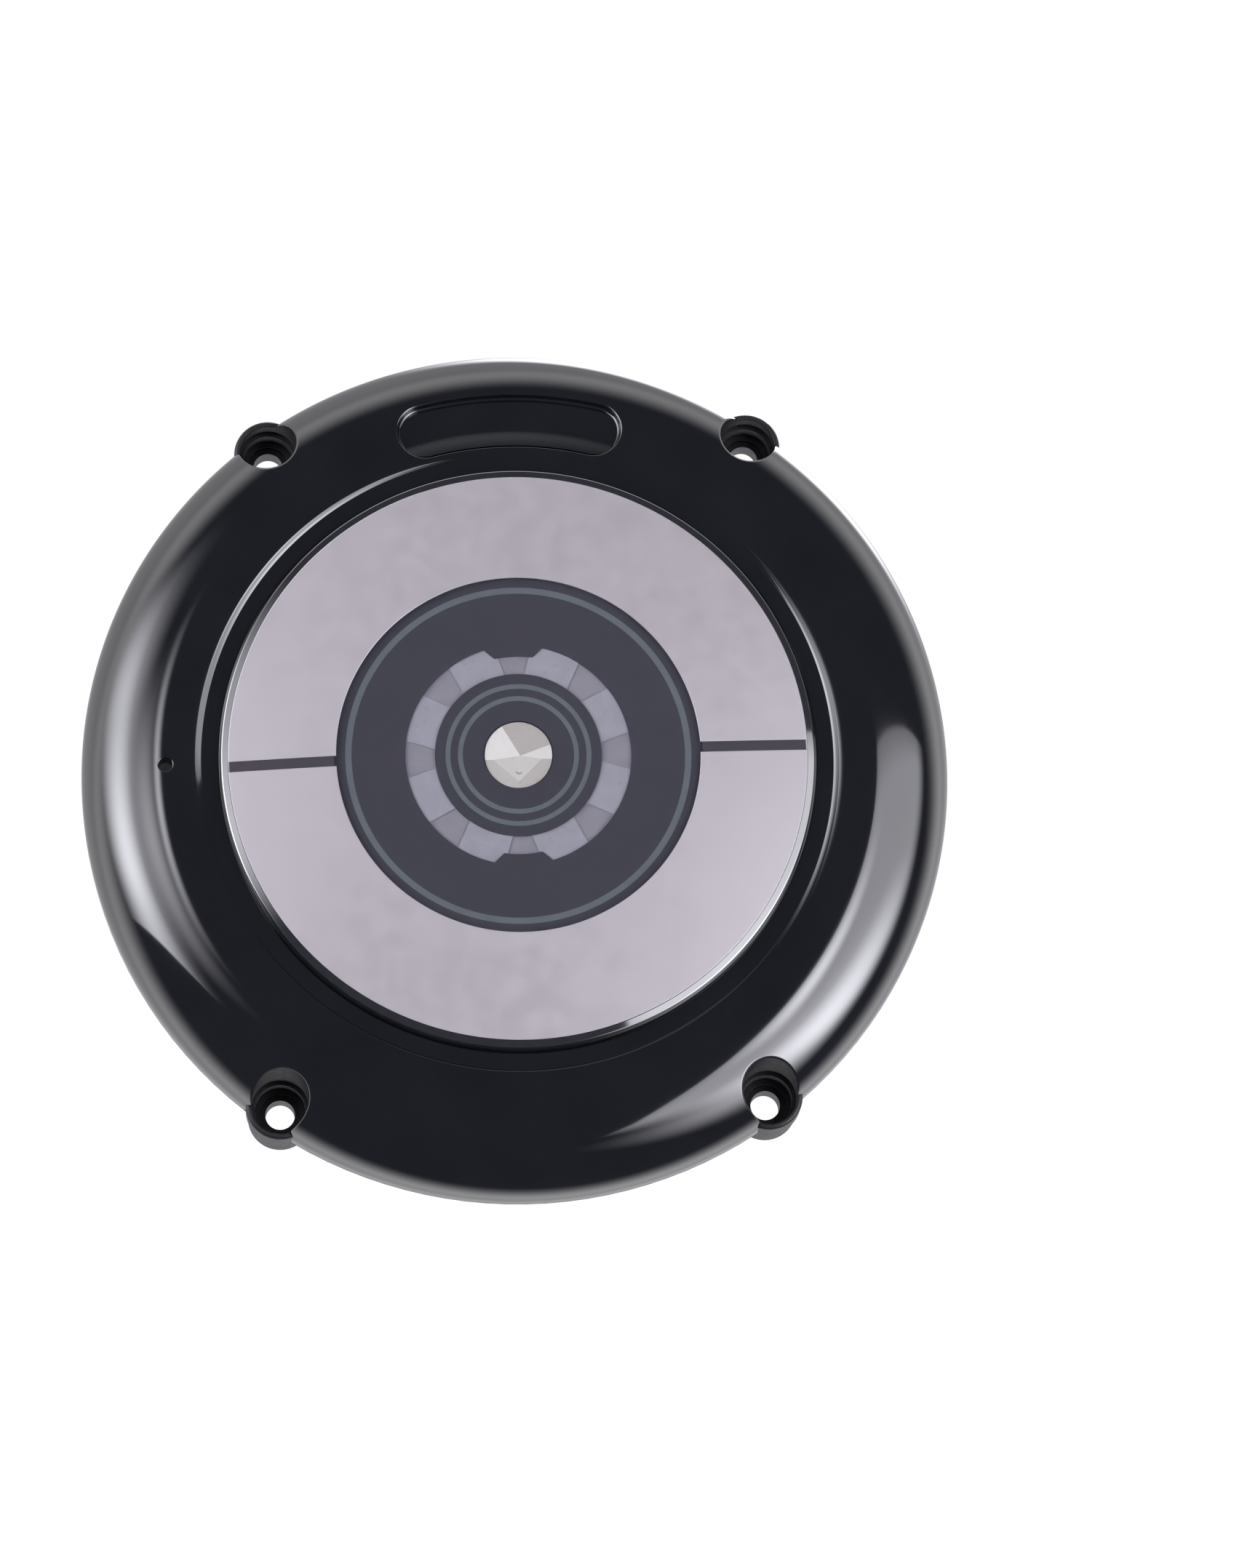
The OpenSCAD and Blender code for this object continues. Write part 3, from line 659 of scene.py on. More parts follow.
FINISHES: dict[str, Finish] = {
    "shell": Finish((0.0025, 0.0027, 0.0039), 0.06, vary=0.3, grain=300, ior=2.0),
    "bore": Finish((0.012, 0.012, 0.015), 0.42, relief=0.3),
    "shell_inside": Finish((0.026, 0.025, 0.028), 0.36, relief=1.0, relief_scale=3500, soft=4e-5),
    "gasket_rubber": Finish((0.15, 0.19, 0.235), 0.24, vary=0.2, relief=0.15, grain=900),
    "glass_rim": Finish((0.006, 0.006, 0.007), 0.05, vary=0.3, ior=3.0),
    "split_print": Finish((0.05, 0.045, 0.057), 0.5, vary=0.05, level=0.3),
    "electrode_plating": Finish((0.533, 0.494, 0.52), 0.38, metal=0.5, vary=0.008, grain=500),
    "adhesive": Finish((0.02, 0.02, 0.02), 0.6, soft=2e-5),
    "mask_film": Finish((0.058, 0.057, 0.076), 0.6, vary=0.03, level=0.3),
    "line_ink": Finish((0.15, 0.17, 0.19), 0.5, vary=0.06),
    # The optic ring is one plastic: its sunk finish is painted darker and its raised one lighter,
    # as painted shade and painted light of the facets.
    "optic_sunk_painted_shade": Finish((0.35, 0.335, 0.385), 0.35, vary=0.05),
    "optic_raised_painted_light": Finish((0.43, 0.425, 0.49), 0.3, vary=0.05),
    "barrier_plastic": Finish((0.015, 0.015, 0.016), 0.6, soft=3e-5),
    "diode_chip": Finish((0.05, 0.05, 0.07), 0.2, soft=3e-5),
    "led_chip": Finish((0.6, 0.58, 0.35), 0.4, soft=3e-5),
    "board": Finish((0.01, 0.09, 0.04), 0.4, soft=3e-5),
    "coil_copper": Finish((0.6, 0.25, 0.1), 0.3, metal=1.0, soft=3e-5),
    "ferrite": Finish((0.04, 0.04, 0.04), 0.65, soft=3e-5),
    "pin_gold": Finish((0.8, 0.55, 0.2), 0.25, metal=1.0, soft=3e-5),
    "bracket_plastic": Finish((0.022, 0.022, 0.027), 0.3, relief=0.7, relief_scale=4000, soft=6e-5),
    "flex_film": Finish((0.014, 0.012, 0.012), 0.25, relief=0.1, soft=2e-5),
    "pad_gold": Finish((0.95, 0.72, 0.32), 0.25, metal=1.0, relief=0.1, soft=2e-5),
    "connector_plastic": Finish((0.02, 0.02, 0.021), 0.5, soft=4e-5),
    "stake_plastic": Finish((0.025, 0.025, 0.028), 0.4, soft=6e-5),
    "boot_rubber": Finish((0.58, 0.63, 0.68), 0.35, relief=0.1, subsurface=0.2, soft=1.2e-4),
    "membrane_film": Finish((0.2, 0.2, 0.21), 0.7, relief=0.3, soft=2e-5),
    "clip_plastic": Finish((0.015, 0.015, 0.017), 0.35, soft=5e-5),
}


def lens_finish() -> bpy.types.Material:
    """Makes the pearly finish, paler or darker by each facet's painted light and shade value.

    Returns:
        The material.
    """
    tree = Paint("lens_pearl")
    tone_and_painted_light = tree.add("ShaderNodeAttribute", attribute_name="tone_and_painted_light").outputs["Fac"]
    # Paler on the facets that stand lit, darker on those in shade: painted light and shade.
    pale = tree.mix(tone_and_painted_light, (0.43, 0.385, 0.37), (1.0, 0.985, 0.94))
    cloud = tree.span(tree.noise(3000), 0.0, 0.1)
    rough = tree.span(tree.noise(5000), 0.25, 0.35)
    return tree.dress({"Base Color": tree.mix(cloud, pale, (0.8, 0.72, 0.62)), "Roughness": rough})


def clear_finish() -> bpy.types.Material:
    """Makes the thin smoked glass that shows what lies under it.

    Returns:
        The material.
    """
    tree = Paint("window_glass")
    cloud = tree.span(tree.noise(200), 0, 1)
    smoke = tree.mix(cloud, (0.02, 0.02, 0.024), (0.026, 0.026, 0.03))
    rough = tree.span(tree.noise(400), 0.03, 0.05)
    return tree.dress({"Base Color": smoke, "Roughness": rough, "Alpha": 0.1})


@dataclass
class Skin:
    """Smooth outer face of the shell, with its recess, screw mouths and vent hole."""

    size: Cover
    mouth_round: float = 0.12
    vent_round: float = 0.06
    rim_round: float = 0.11
    foot_round: float = 0.16
    wall: float = 0.03
    ramp_in: float = 0.25
    ramp_soft: float = 0.22
    ramp: float = 0.5
    crease: float = 0.08
    side_foot: float = 0.08
    columns: int = 480
    grid_off_mouth: float = 0.2
    grid_off_vent: float = 0.12
    grid_off_rim: float = 0.27
    grid_in_floor: float = 0.42

    MOUTH_LOOPS = (0.0, 0.004, 0.015, 0.035, 0.06, 0.09, 0.12)
    VENT_LOOPS = (0.0, 0.006, 0.02, 0.04, 0.06)
    RIM_LOOPS = (0.0, 0.003, 0.01, 0.025, 0.045, 0.075, 0.11, 0.2)
    FLOOR_LOOPS = (0.0, 0.006, 0.025, 0.06, 0.1, 0.16, 0.3, 0.52, 0.75, 1.0)

    def __post_init__(self) -> None:
        """Works out the profile by arc length."""
        size, out, foot = self.size, self.size.outer_r, self.side_foot
        corner = np.array((out - size.corner_r, size.side_h))
        gap = size.crown_arc - size.corner_r
        slope = math.asin((size.side_h + size.crown_arc - size.crown_h) / gap)
        crown = np.array((corner[0] - gap * math.cos(slope), size.crown_h - size.crown_arc))
        lip_gap = size.crown_arc - size.lip_round
        turn = QUARTER + math.asin((crown[0] - size.lip_x) / lip_gap)
        lip = crown + polar(lip_gap, turn)
        reach = size.lip_round + self.crease
        last = math.pi - math.asin((size.land_h + self.crease - lip[1]) / reach)
        hollow = lip + polar(reach, last)

        def arc(centre: Sequence[float], r: float, a0: float, a1: float, n: int) -> np.ndarray:
            """Rows of radius, height and angle; a radius below 0 makes a hollow."""
            return np.column_stack(
                (arcs([(centre, r, a0, a1, n)]), np.linspace(a0, a1, n, endpoint=False))
            )

        land = np.linspace(size.seat_r, hollow[0], 3, endpoint=False)
        table = np.concatenate(
            (
                [(r, size.land_h, QUARTER) for r in land],
                arc(hollow, -self.crease, QUARTER, last, 5),
                arc(lip, size.lip_round, last, turn, 7),
                arc(crown, size.crown_arc, turn, slope, 16),
                arc(corner, size.corner_r, slope, 0.0, 34),
                [(out, size.side_h, 0.0), (out, size.side_h / 2, 0.0)],
                arc((out - foot, foot), foot, 0.0, -QUARTER, 5),
                [(out - foot, 0.0, -QUARTER), (out - 2 * foot, 0.0, -QUARTER)],
            )
        )
        step = np.hypot(np.diff(table[:, 0]), np.diff(table[:, 1]))
        self.s = size.seat_r + np.concatenate(([0], np.cumsum(step)))
        self.table = table
        self.rising = int(np.argmax(table[:, 0] >= out - 1e-9)) + 1

    def at(self, s: np.ndarray) -> tuple[np.ndarray, ...]:
        """Radius, height and angle of the normal at places along the profile."""
        return tuple(np.interp(s, self.s, column) for column in self.table.T)

    def place(self, r: float | np.ndarray) -> float | np.ndarray:
        """Places along the profile at radii up to the outer radius."""
        return np.interp(r, self.table[: self.rising, 0], self.s[: self.rising])

    def crown(self, xy: np.ndarray) -> np.ndarray:
        """Height of the face before any rounding.

        Args:
            xy: Rows of (x, v).

        Returns:
            Heights, and -1 outside the shell.
        """
        r = np.linalg.norm(xy, axis=1)
        h = self.at(self.place(np.minimum(r, self.size.outer_r)))[1]
        return np.where(r < self.size.outer_r, h, -1.0)

    def unrolled(self, xy: np.ndarray) -> np.ndarray:
        """Points in plan, laid out by their distance along the profile."""
        r = np.linalg.norm(xy, axis=1)
        return xy / r[:, None] * self.place(r)[:, None]

    def kidney(self, d: float) -> np.ndarray:
        """Outline of the recess, grown by d.

        Args:
            d: Distance outside the recess's edge.

        Returns:
            Rows of (x, v).
        """
        mid, w = self.size.recess_r, self.size.recess_half_w + d
        a0, a1 = (math.radians(90 + t * self.size.recess_angle) for t in (-1, 1))
        return arcs(
            (
                ((0.0, 0.0), mid + w, a0, a1, 44),
                (polar(mid, a1), w, a1, a1 + math.pi, 26),
                ((0.0, 0.0), mid - w, a1, a0, 36),
                (polar(mid, a0), w, a0 - math.pi, a0, 26),
            )
        )

    def from_recess(self, xy: np.ndarray) -> tuple[np.ndarray, np.ndarray]:
        """Distance outside the recess's edge, and its direction.

        Args:
            xy: Rows of (x, v).

        Returns:
            Distances and unit gradients.
        """
        size = self.size
        a = np.degrees(np.arctan2(xy[:, 1], xy[:, 0]))
        turn = np.radians(np.clip(a, 90 - size.recess_angle, 90 + size.recess_angle))
        off = xy - polar(size.recess_r, turn)
        return np.linalg.norm(off, axis=1) - size.recess_half_w, unit(off)

    @staticmethod
    def rounding(d: np.ndarray, f: float, steep: float = 0.02) -> tuple[np.ndarray, np.ndarray]:
        """Drop and slope of a rounded edge.

        Args:
            d: Distance outside the edge.
            f: Radius of the rounding.
            steep: Share of the radius that keeps the slope finite at the edge.

        Returns:
            Drop below the face, and its derivative by d.
        """
        t = np.clip(f - d, 0, f)
        rest = np.sqrt(np.maximum(f * f - t * t, (steep * f) ** 2))
        return np.where(d < f, f - rest, 0.0), np.where(d < f, -t / rest, 0.0)

    def dip(self, xy: np.ndarray) -> tuple[np.ndarray, np.ndarray]:
        """How far the features sink the face.

        Args:
            xy: Rows of (x, v).

        Returns:
            Drops and their gradients in plan.
        """
        size = self.size
        drop, slope = np.zeros(len(xy)), np.zeros((len(xy), 2))
        rims = [(c, size.mouth_r, self.mouth_round) for c in size.bosses]
        for centre, r, f in (*rims, ((size.vent_x, 0.0), size.vent_r, self.vent_round)):
            off = xy - np.array(centre)
            fall, change = self.rounding(np.linalg.norm(off, axis=1) - r, f)
            drop += fall
            slope += change[:, None] * unit(off)
        d, way = self.from_recess(xy)
        fall, change = self.rounding(np.maximum(d, 0), self.rim_round)
        steep = size.recess_depth - self.foot_round - self.rim_round
        on_wall = self.rim_round + steep * np.clip(-d / self.wall, 0, 1)
        fall = np.where(d < 0, on_wall, fall)
        change = np.where(d < 0, -steep / self.wall, change)
        inner = -d - self.wall
        rise, bend = self.rounding(inner, self.foot_round)
        fall = np.where(inner > 0, size.recess_depth - rise, fall)
        change = np.where(inner > 0, bend, change)
        r = np.linalg.norm(xy, axis=1)
        low = np.maximum(size.recess_r - self.ramp_in - r, 0)
        lift = np.sqrt(low**2 + self.ramp_soft**2)
        ramp_fall = size.recess_depth - self.ramp * (lift - self.ramp_soft)
        on_ramp = (d < -self.wall) & (ramp_fall < fall) & (low > 0)
        fall = np.where(on_ramp, ramp_fall, fall)
        change = np.where(on_ramp, 0.0, change)
        slope += np.where(on_ramp, self.ramp * low / lift / r, 0.0)[:, None] * xy
        return drop + fall, slope + change[:, None] * way

    def clear(self, xy: np.ndarray, mouth: float = 0.0, vent: float = 0.0) -> np.ndarray:
        """Which points lie outside the screw mouths and the vent.

        Args:
            xy: Rows of (x, v).
            mouth: Distance kept from each mouth.
            vent: Distance kept from the vent.

        Returns:
            One flag a point.
        """
        size = self.size
        good = np.hypot(xy[:, 0] - size.vent_x, xy[:, 1]) > size.vent_r + vent
        for cx, cv in size.bosses:
            good &= np.hypot(xy[:, 0] - cx, xy[:, 1] - cv) > size.mouth_r + mouth
        return good

    def loops(self) -> Iterator[tuple[np.ndarray, bool]]:
        """Gives the lines round each feature.

        Yields:
            A line on the unrolled face, and whether it is closed.
        """
        size, out = self.size, self.size.outer_r
        round_mouth = np.linspace(-math.pi, math.pi, 145) + math.pi
        for cx, cv in size.bosses:
            beta = math.atan2(cv, cx)
            for d in self.MOUTH_LOOPS:
                r = size.mouth_r + d
                ring = (cx, cv) + polar(r, beta + round_mouth)
                flat = self.unrolled(ring[np.linalg.norm(ring, axis=1) < out - 1e-3])
                cross = math.acos((out**2 + size.boss_at**2 - r * r) / (2 * out * size.boss_at))
                down, kink = (
                    [polar(far, beta + t * cross) for t in (-1, 1)]
                    for far in (self.s[-1], self.place(out))
                )
                if np.linalg.norm(flat[0] - kink[0]) > np.linalg.norm(flat[0] - kink[1]):
                    kink.reverse()
                    down.reverse()
                yield np.vstack((down[0], kink[0], flat, kink[1], down[1])), False
        for d in (*self.RIM_LOOPS, *(-self.wall - d for d in self.FLOOR_LOOPS)):
            yield self.unrolled(self.kidney(d)), True
        for d in self.VENT_LOOPS:
            centre = (size.vent_x, 0.0)
            yield self.unrolled(arcs([(centre, size.vent_r + d, 0.0, TAU, 48)])), True

    def draw(self, draft: Draft) -> None:
        """Adds the outer face to a mesh.

        Args:
            draft: Mesh to add to.
        """
        points: list[tuple[float, ...]] = []
        edges: list[tuple[int, int]] = []
        for line, closed in self.loops():
            start, count = len(points), len(line)
            points.extend(map(tuple, line))
            ends = range(count if closed else count - 1)
            edges.extend((start + k, start + (k + 1) % count) for k in ends)
        phi = np.tile(np.arange(self.columns) * TAU / self.columns, len(self.s))
        plan = polar(np.repeat(self.table[:, 0], self.columns), phi)
        along = np.repeat(self.s, self.columns)
        d, _ = self.from_recess(plan)
        keep = self.clear(plan, self.grid_off_mouth, self.grid_off_vent)
        keep &= (d > self.grid_off_rim) | (d < -self.grid_in_floor)
        keep |= along == self.s[0]
        points.extend(map(tuple, polar(along, phi)[keep]))

        flat, tris = triangles(points, edges, 1e-5)
        s = np.linalg.norm(flat, axis=1)
        ray = flat / s[:, None]
        r, h, lean = self.at(s)
        xy = ray * r[:, None]
        drop, slope = self.dip(xy)
        up = np.sin(lean)
        tilt = ray * np.cos(lean)[:, None] + np.maximum(up, 0)[:, None] * slope
        middle = flat[tris].mean(axis=1)
        mid_s = np.linalg.norm(middle, axis=1)
        mid = middle / mid_s[:, None] * self.at(mid_s)[0][:, None]
        good = (mid_s > self.s[0]) & (mid_s < self.s[-1]) & self.clear(mid)
        sunk = h - np.where(up > 0, drop, 0.0)
        draft.add(at_height(xy, sunk), at_height(tilt, up), tris[good])


@dataclass
class ShellBuilder:
    """Builds the shell: its outer face, its bosses and its inner side."""

    size: Cover
    bore_r: float = 0.71
    throat_r: float = 0.95
    head_r: float = 1.2
    post_r: float = 1.02
    collar_r: float = 1.55
    mouth_floor: float = 0.3
    head_floor: float = -0.8
    throat_floor: float = -1.1
    collar_end: float = -2.0
    post_end: float = -2.4
    lobe_edge: float = 0.06
    bore_edge: float = 0.035
    inner_top: float = 3.36
    crease: float = 32.0

    def __post_init__(self) -> None:
        """Makes the outer face."""
        self.skin = Skin(self.size)

    def bosses(self, draft: Draft) -> None:
        """Adds the four lobes with their screw holes and posts.

        Args:
            draft: Mesh to add to.
        """
        size, rim, e = self.size, self.lobe_edge, self.bore_edge
        outside = Section.rounded(
            [
                (self.bore_r, self.post_end + 0.1),
                (self.bore_r, self.post_end, 0.06),
                (self.post_r, self.post_end, 0.08),
                (self.post_r, self.collar_end),
                (self.collar_r, self.collar_end, 0.1),
                (self.collar_r, 0.0),
                (size.lobe_r, 0.0),
                (size.lobe_r, size.lobe_h, 0.18),
                (size.mouth_r, size.lobe_h, rim),
                (size.mouth_r, size.lobe_h - rim * 1.001),
            ],
            turn=15,
        )
        bore = Section.rounded(
            [
                (size.mouth_r, self.mouth_floor),
                (self.head_r, self.mouth_floor, e),
                (self.head_r, self.head_floor),
                (self.throat_r, self.head_floor, e),
                (self.throat_r, self.throat_floor),
                (self.bore_r, self.throat_floor, e),
                (self.bore_r, self.post_end + 0.1),
            ]
        )
        for centre in size.bosses:
            track = Track.circle(centre, 144)
            draft.sweep(track, outside, ShellSlot.BORE)
            draft.sweep(track, bore, ShellSlot.BORE)
            xy = track.points + track.outward * size.mouth_r
            top = np.maximum(self.skin.crown(xy) - self.skin.mouth_round, size.lobe_h - rim)
            draft.strip(
                at_height(xy, top),
                at_height(xy, self.mouth_floor),
                at_height(-track.outward, 0.0),
                ShellSlot.BORE,
            )

    def inside(self, draft: Draft, cad: bpy.types.Object) -> None:
        """Adds the inner side from the frame's own mesh.

        Args:
            draft: Mesh to add to.
            cad: The frame's shell.
        """
        size, mesh = self.size, cad.data
        co = np.zeros(len(mesh.vertices) * 3)
        mesh.vertices.foreach_get("co", co)
        co = co.reshape(-1, 3) / MM
        local = np.column_stack((co[:, 0], co[:, 2], -co[:, 1]))
        mesh.calc_loop_triangles()
        tris = np.zeros(len(mesh.loop_triangles) * 3, int)
        mesh.loop_triangles.foreach_get("vertices", tris)
        tris = tris.reshape(-1, 3)
        mid = local[tris].mean(axis=1)
        r, h = np.hypot(mid[:, 0], mid[:, 1]), mid[:, 2]
        slack, thin = 0.01, 0.05
        keep = (h < self.inner_top) & (r < size.outer_r - 2 * slack)
        keep &= self.skin.crown(mid[:, :2]) - h > thin
        keep &= ~((r < size.seat_r + 2 * slack) & (h > size.floor_h + slack))
        for cx, cv in size.bosses:
            away = np.hypot(mid[:, 0] - cx, mid[:, 1] - cv)
            keep &= ~((away < size.lobe_r + slack) & (np.abs(h) > slack / 10))
            keep &= away > self.collar_r - thin
        corners = local[tris[keep]]
        n = unit(np.cross(corners[:, 1] - corners[:, 0], corners[:, 2] - corners[:, 0]))
        flat = corners.reshape(-1, 3)
        back = np.unique(np.round(flat, 3), axis=0, return_inverse=True)[1].reshape(-1, 3)
        shared: dict[int, list[int]] = {}
        for f, row in enumerate(back.tolist()):
            for v in row:
                shared.setdefault(v, []).append(f)
        soft = np.zeros(corners.shape)
        for f, row in enumerate(back.tolist()):
            for k, v in enumerate(row):
                near = n[shared[v]]
                soft[f, k] = near[near @ n[f] > math.cos(math.radians(self.crease))].sum(axis=0)
        faces = np.arange(len(flat)).reshape(-1, 3)
        draft.add(flat, soft.reshape(-1, 3), faces, ShellSlot.INSIDE)

    def build(
        self, cad: bpy.types.Object, finishes: Sequence[bpy.types.Material]
    ) -> bpy.types.Object:
        """Builds the whole shell.

        Args:
            cad: The frame's shell.
            finishes: Gloss finish, inner finish and that of the bosses.

        Returns:
            The shell.
        """
        size, draft = self.size, Draft()
        self.skin.draw(draft)
        self.bosses(draft)
        seat = Section.rounded(
            [
                (size.seat_r, size.land_h),
                (size.seat_r, size.seat_h),
                (size.open_r, size.seat_h, 0.06),
                (size.open_r, size.floor_h),
            ]
        )
        draft.sweep(Track.circle(steps=480), seat)
        top = self.skin.crown(np.array([[size.vent_x, 0.0]]))[0] - self.skin.vent_round
        vent = Section.rounded([(size.vent_r, top), (size.vent_r, size.floor_h)])
        draft.sweep(Track.circle((size.vent_x, 0.0), 48), vent)
        self.inside(draft, cad)
        return draft.build("shell", finishes)


@dataclass(frozen=True)
class Repeat:
    """Geometry Nodes tree that repeats a mesh round the cover's axis."""

    count: int
    turn: float

    def tree(self) -> bpy.types.NodeTree:
        """Builds the tree, with inputs for the count, the first angle and the finish.

        Returns:
            The tree.
        """
        tree = bpy.data.node_groups.new("ring_repeat", "GeometryNodeTree")
        kinds = {"Geometry": "Geometry", "Count": "Int", "Turn": "Float", "Finish": "Material"}
        for name, kind in kinds.items():
            tree.interface.new_socket(name, in_out="INPUT", socket_type="NodeSocket" + kind)
        tree.interface.new_socket("Geometry", in_out="OUTPUT", socket_type="NodeSocketGeometry")
        graph = Graph(tree)
        given = graph.add("NodeGroupInput").outputs
        spots = graph.add("GeometryNodePoints", {"Count": given["Count"]})
        index = graph.add("GeometryNodeInputIndex").outputs[0]
        step = graph.calc("MULTIPLY", index, graph.calc("DIVIDE", -TAU, given["Count"]))
        angle = graph.calc("SUBTRACT", step, given["Turn"])
        spin = graph.add("ShaderNodeCombineXYZ", {"Y": angle}).outputs[0]
        inputs = {"Points": spots.outputs[0], "Instance": given["Geometry"], "Rotation": spin}
        place = graph.add("GeometryNodeInstanceOnPoints", inputs)
        real = graph.add("GeometryNodeRealizeInstances", {0: place.outputs[0]})
        inputs = {"Geometry": real.outputs[0], "Material": given["Finish"]}
        paint = graph.add("GeometryNodeSetMaterial", inputs)
        graph.add("NodeGroupOutput", {0: paint.outputs[0]})
        return tree

    def apply(self, obj: bpy.types.Object, finish: bpy.types.Material) -> None:
        """Turns an object's mesh into the whole ring.

        Args:
            obj: Object whose mesh is the first of the ring.
            finish: Finish of the result.
        """
        tree = self.tree()
        given = {"Count": self.count, "Turn": self.turn, "Finish": finish}
        modifier = obj.modifiers.new("ring", "NODES")
        modifier.node_group = tree
        for item in tree.interface.items_tree:
            if item.in_out == "INPUT" and item.name in given:
                modifier[item.identifier] = given[item.name]
        graph = bpy.context.evaluated_depsgraph_get()
        mesh = bpy.data.meshes.new_from_object(obj.evaluated_get(graph))
        obj.modifiers.clear()
        old, obj.data = obj.data, mesh
        bpy.data.meshes.remove(old)
        mesh.name = obj.name


@dataclass
class WindowBuilder:
    """Builds the glass, the plates and the prints and optics under the window."""

    size: Cover
    over: float = 0.1
    band_sunk: float = 0.03
    glass_inner_r: float = 13.15
    glass_inner_h: float = 4.24
    plate_edge: float = 0.03
    plate_lift: float = 0.002
    plate_deep: float = 0.06
    split_over: float = 0.02
    split_turn: float = 0.1
    mask_sunk: float = 0.006
    mask_mid_r: float = 6.5
    opening_r: float = 5.42
    shoulder_half_w: float = 1.4
    notch_r: float = 4.89
    notch_half_w: float = 0.92
    line_sunk: float = 0.002
    line_deep: float = 0.02
    optic_deep: float = 0.35
    facet_low_r: float = 3.92
    facet_high_r: float = 5.5
    facet_half_turn: float = 22.5
    facet_rise: float = 0.05
    facet_inset: float = 0.05
    lens_r: float = 1.62
    lens_lift: float = 0.02
    lens_skirt: float = 0.12

    DISC = ((1.67, 4.0),)
    OUTER_LINE = ((8.0, 8.3),)
    CENTRE_LINES = ((3.27, 3.5), (2.67, 2.9))
    OPTICS = ((3.88, 5.54),)
    FACET_EDGE = (3.42, 1.13)
    FACET_EDGE_AT = (3.0, 0.2)

    @property
    def mask_top(self) -> float:
        """Upper side of the dark prints."""
        return self.size.window_h - self.mask_sunk

    def domed(self, r: np.ndarray, sunk: float = 0.0) -> Section:
        """Makes a section along the dome.

        Args:
            r: Radii of its points.
            sunk: Distance below the dome.

        Returns:
            The section.
        """
        h = self.size.dome(r)
        normals = np.column_stack((r, h - self.size.dome_centre)) / self.size.dome_r
        return Section(np.column_stack((r, h - sunk)), normals)

    def glass(self, finishes: Sequence[bpy.types.Material]) -> bpy.types.Object:
        """Builds the domed glass with its bevel.

        Args:
            finishes: Clear finish, that of the rim and that of the print under the plates.

        Returns:
            The glass.
        """
        size, draft = self.size, Draft()
        edge, inside, low = size.window_r + self.over, size.plate_r - 0.05, size.window_h + 0.01
        draft.sweep(Track.circle(), self.domed(np.linspace(0.0, edge, 24)[::-1]))
        draft.sweep(Track.circle(steps=96), Section.rounded([(0.0, low), (edge, low)]))
        band = self.domed(np.linspace(edge, size.plate_r, 14)[::-1], self.band_sunk)
        draft.sweep(Track.circle(), band, GlassSlot.PRINT)
        rim = Section.rounded(
            [
                (self.glass_inner_r, size.foot_h),
                (size.glass_r, size.foot_h, 0.05),
                (size.glass_r, size.bevel_low, 0.05),
                (size.glass_r - 0.12, size.bevel_top - 0.085, 0.14),
                (size.plate_r + 0.02, size.bevel_top, 0.04),
                (inside, float(size.dome(inside)) - self.band_sunk),
            ],
            turn=9,
        )
        draft.sweep(Track.circle(steps=360), rim, GlassSlot.RIM)
        inner = Section.rounded(
            [
                (size.mask_r + 0.05, size.window_h),
                (self.glass_inner_r, self.glass_inner_h),
                (self.glass_inner_r, size.foot_h),
            ]
        )
        draft.sweep(Track.circle(steps=180), inner, GlassSlot.RIM)
        return draft.build("glass", finishes)

    def electrode(self, side: int, finish: bpy.types.Material) -> bpy.types.Object:
        """Builds one plate, split from the other by straight gaps.

        Args:
            side: 1 for the upper plate, -1 for the lower.
            finish: Its finish.

        Returns:
            The plate.
        """
        size, draft, e = self.size, Draft(), self.plate_edge
        inner, outer = size.window_r, size.plate_r
        flat_r = np.linspace(inner + e, outer - e, 12)
        near, deep, steep = 0.3 * e, 0.6 * e, 0.9
        r = np.array([inner, inner + near, *flat_r, outer - near, outer])
        drops, tilt = np.zeros(len(r)), np.zeros(len(r))
        drops[[0, -1]], drops[[1, -2]] = deep, 0.2 * e
        tilt[[0, 1]], tilt[[-1, -2]] = (-steep, -0.6), (steep, 0.6)
        gap = size.split_w / 2 + self.split_over
        spin = math.radians(size.window_turn - self.split_turn)
        inset = np.arcsin((gap + np.array([0.0, near, e])) / r[:, None])
        first = inset[:, -1:]
        middle = first + (math.pi - 2 * first) * np.linspace(0, 1, 220)[1:-1]
        angles = np.concatenate((inset, middle, math.pi - inset[:, ::-1]), axis=1)
        cols = angles.shape[1]
        at_edge = np.zeros(cols)
        at_edge[[0, -1]], at_edge[[1, -2]] = 1.0, 0.4
        plan = polar(r[:, None], angles)
        fall = np.maximum(drops[:, None], deep * at_edge)
        h = size.dome(r)[:, None] + self.plate_lift - fall
        n = unit(np.dstack((plan, h - size.dome_centre)))
        n[..., :2] += tilt[:, None, None] * polar(1.0, angles)
        n[..., 1] -= at_edge * steep
        mirror = np.array([1.0, side])
        grid = np.dstack((turned(plan * mirror, spin), h))
        normals = np.dstack((turned(n[..., :2] * mirror, spin), n[..., 2]))
        faces = [
            (i * cols + k, i * cols + k + 1, (i + 1) * cols + k + 1, (i + 1) * cols + k)
            for i in range(len(r) - 1)
            for k in range(cols - 1)
        ]
        draft.add(grid.reshape(-1, 3), normals.reshape(-1, 3), faces)
        rim = np.concatenate((grid[0], grid[1:, -1], grid[-1, ::-1][1:], grid[::-1, 0][1:-1]))
        across = turned(np.array([0.0, -side]), spin)
        out = np.concatenate(
            (
                -grid[0, :, :2],
                np.tile(across, (len(r) - 1, 1)),
                grid[-1, ::-1][1:, :2],
                np.tile(across, (len(r) - 2, 1)),
            )
        )
        draft.strip(rim, rim - (0.0, 0.0, self.plate_deep), at_height(out, 0.0))
        return draft.build("upper_plate" if side > 0 else "lower_plate", [finish])

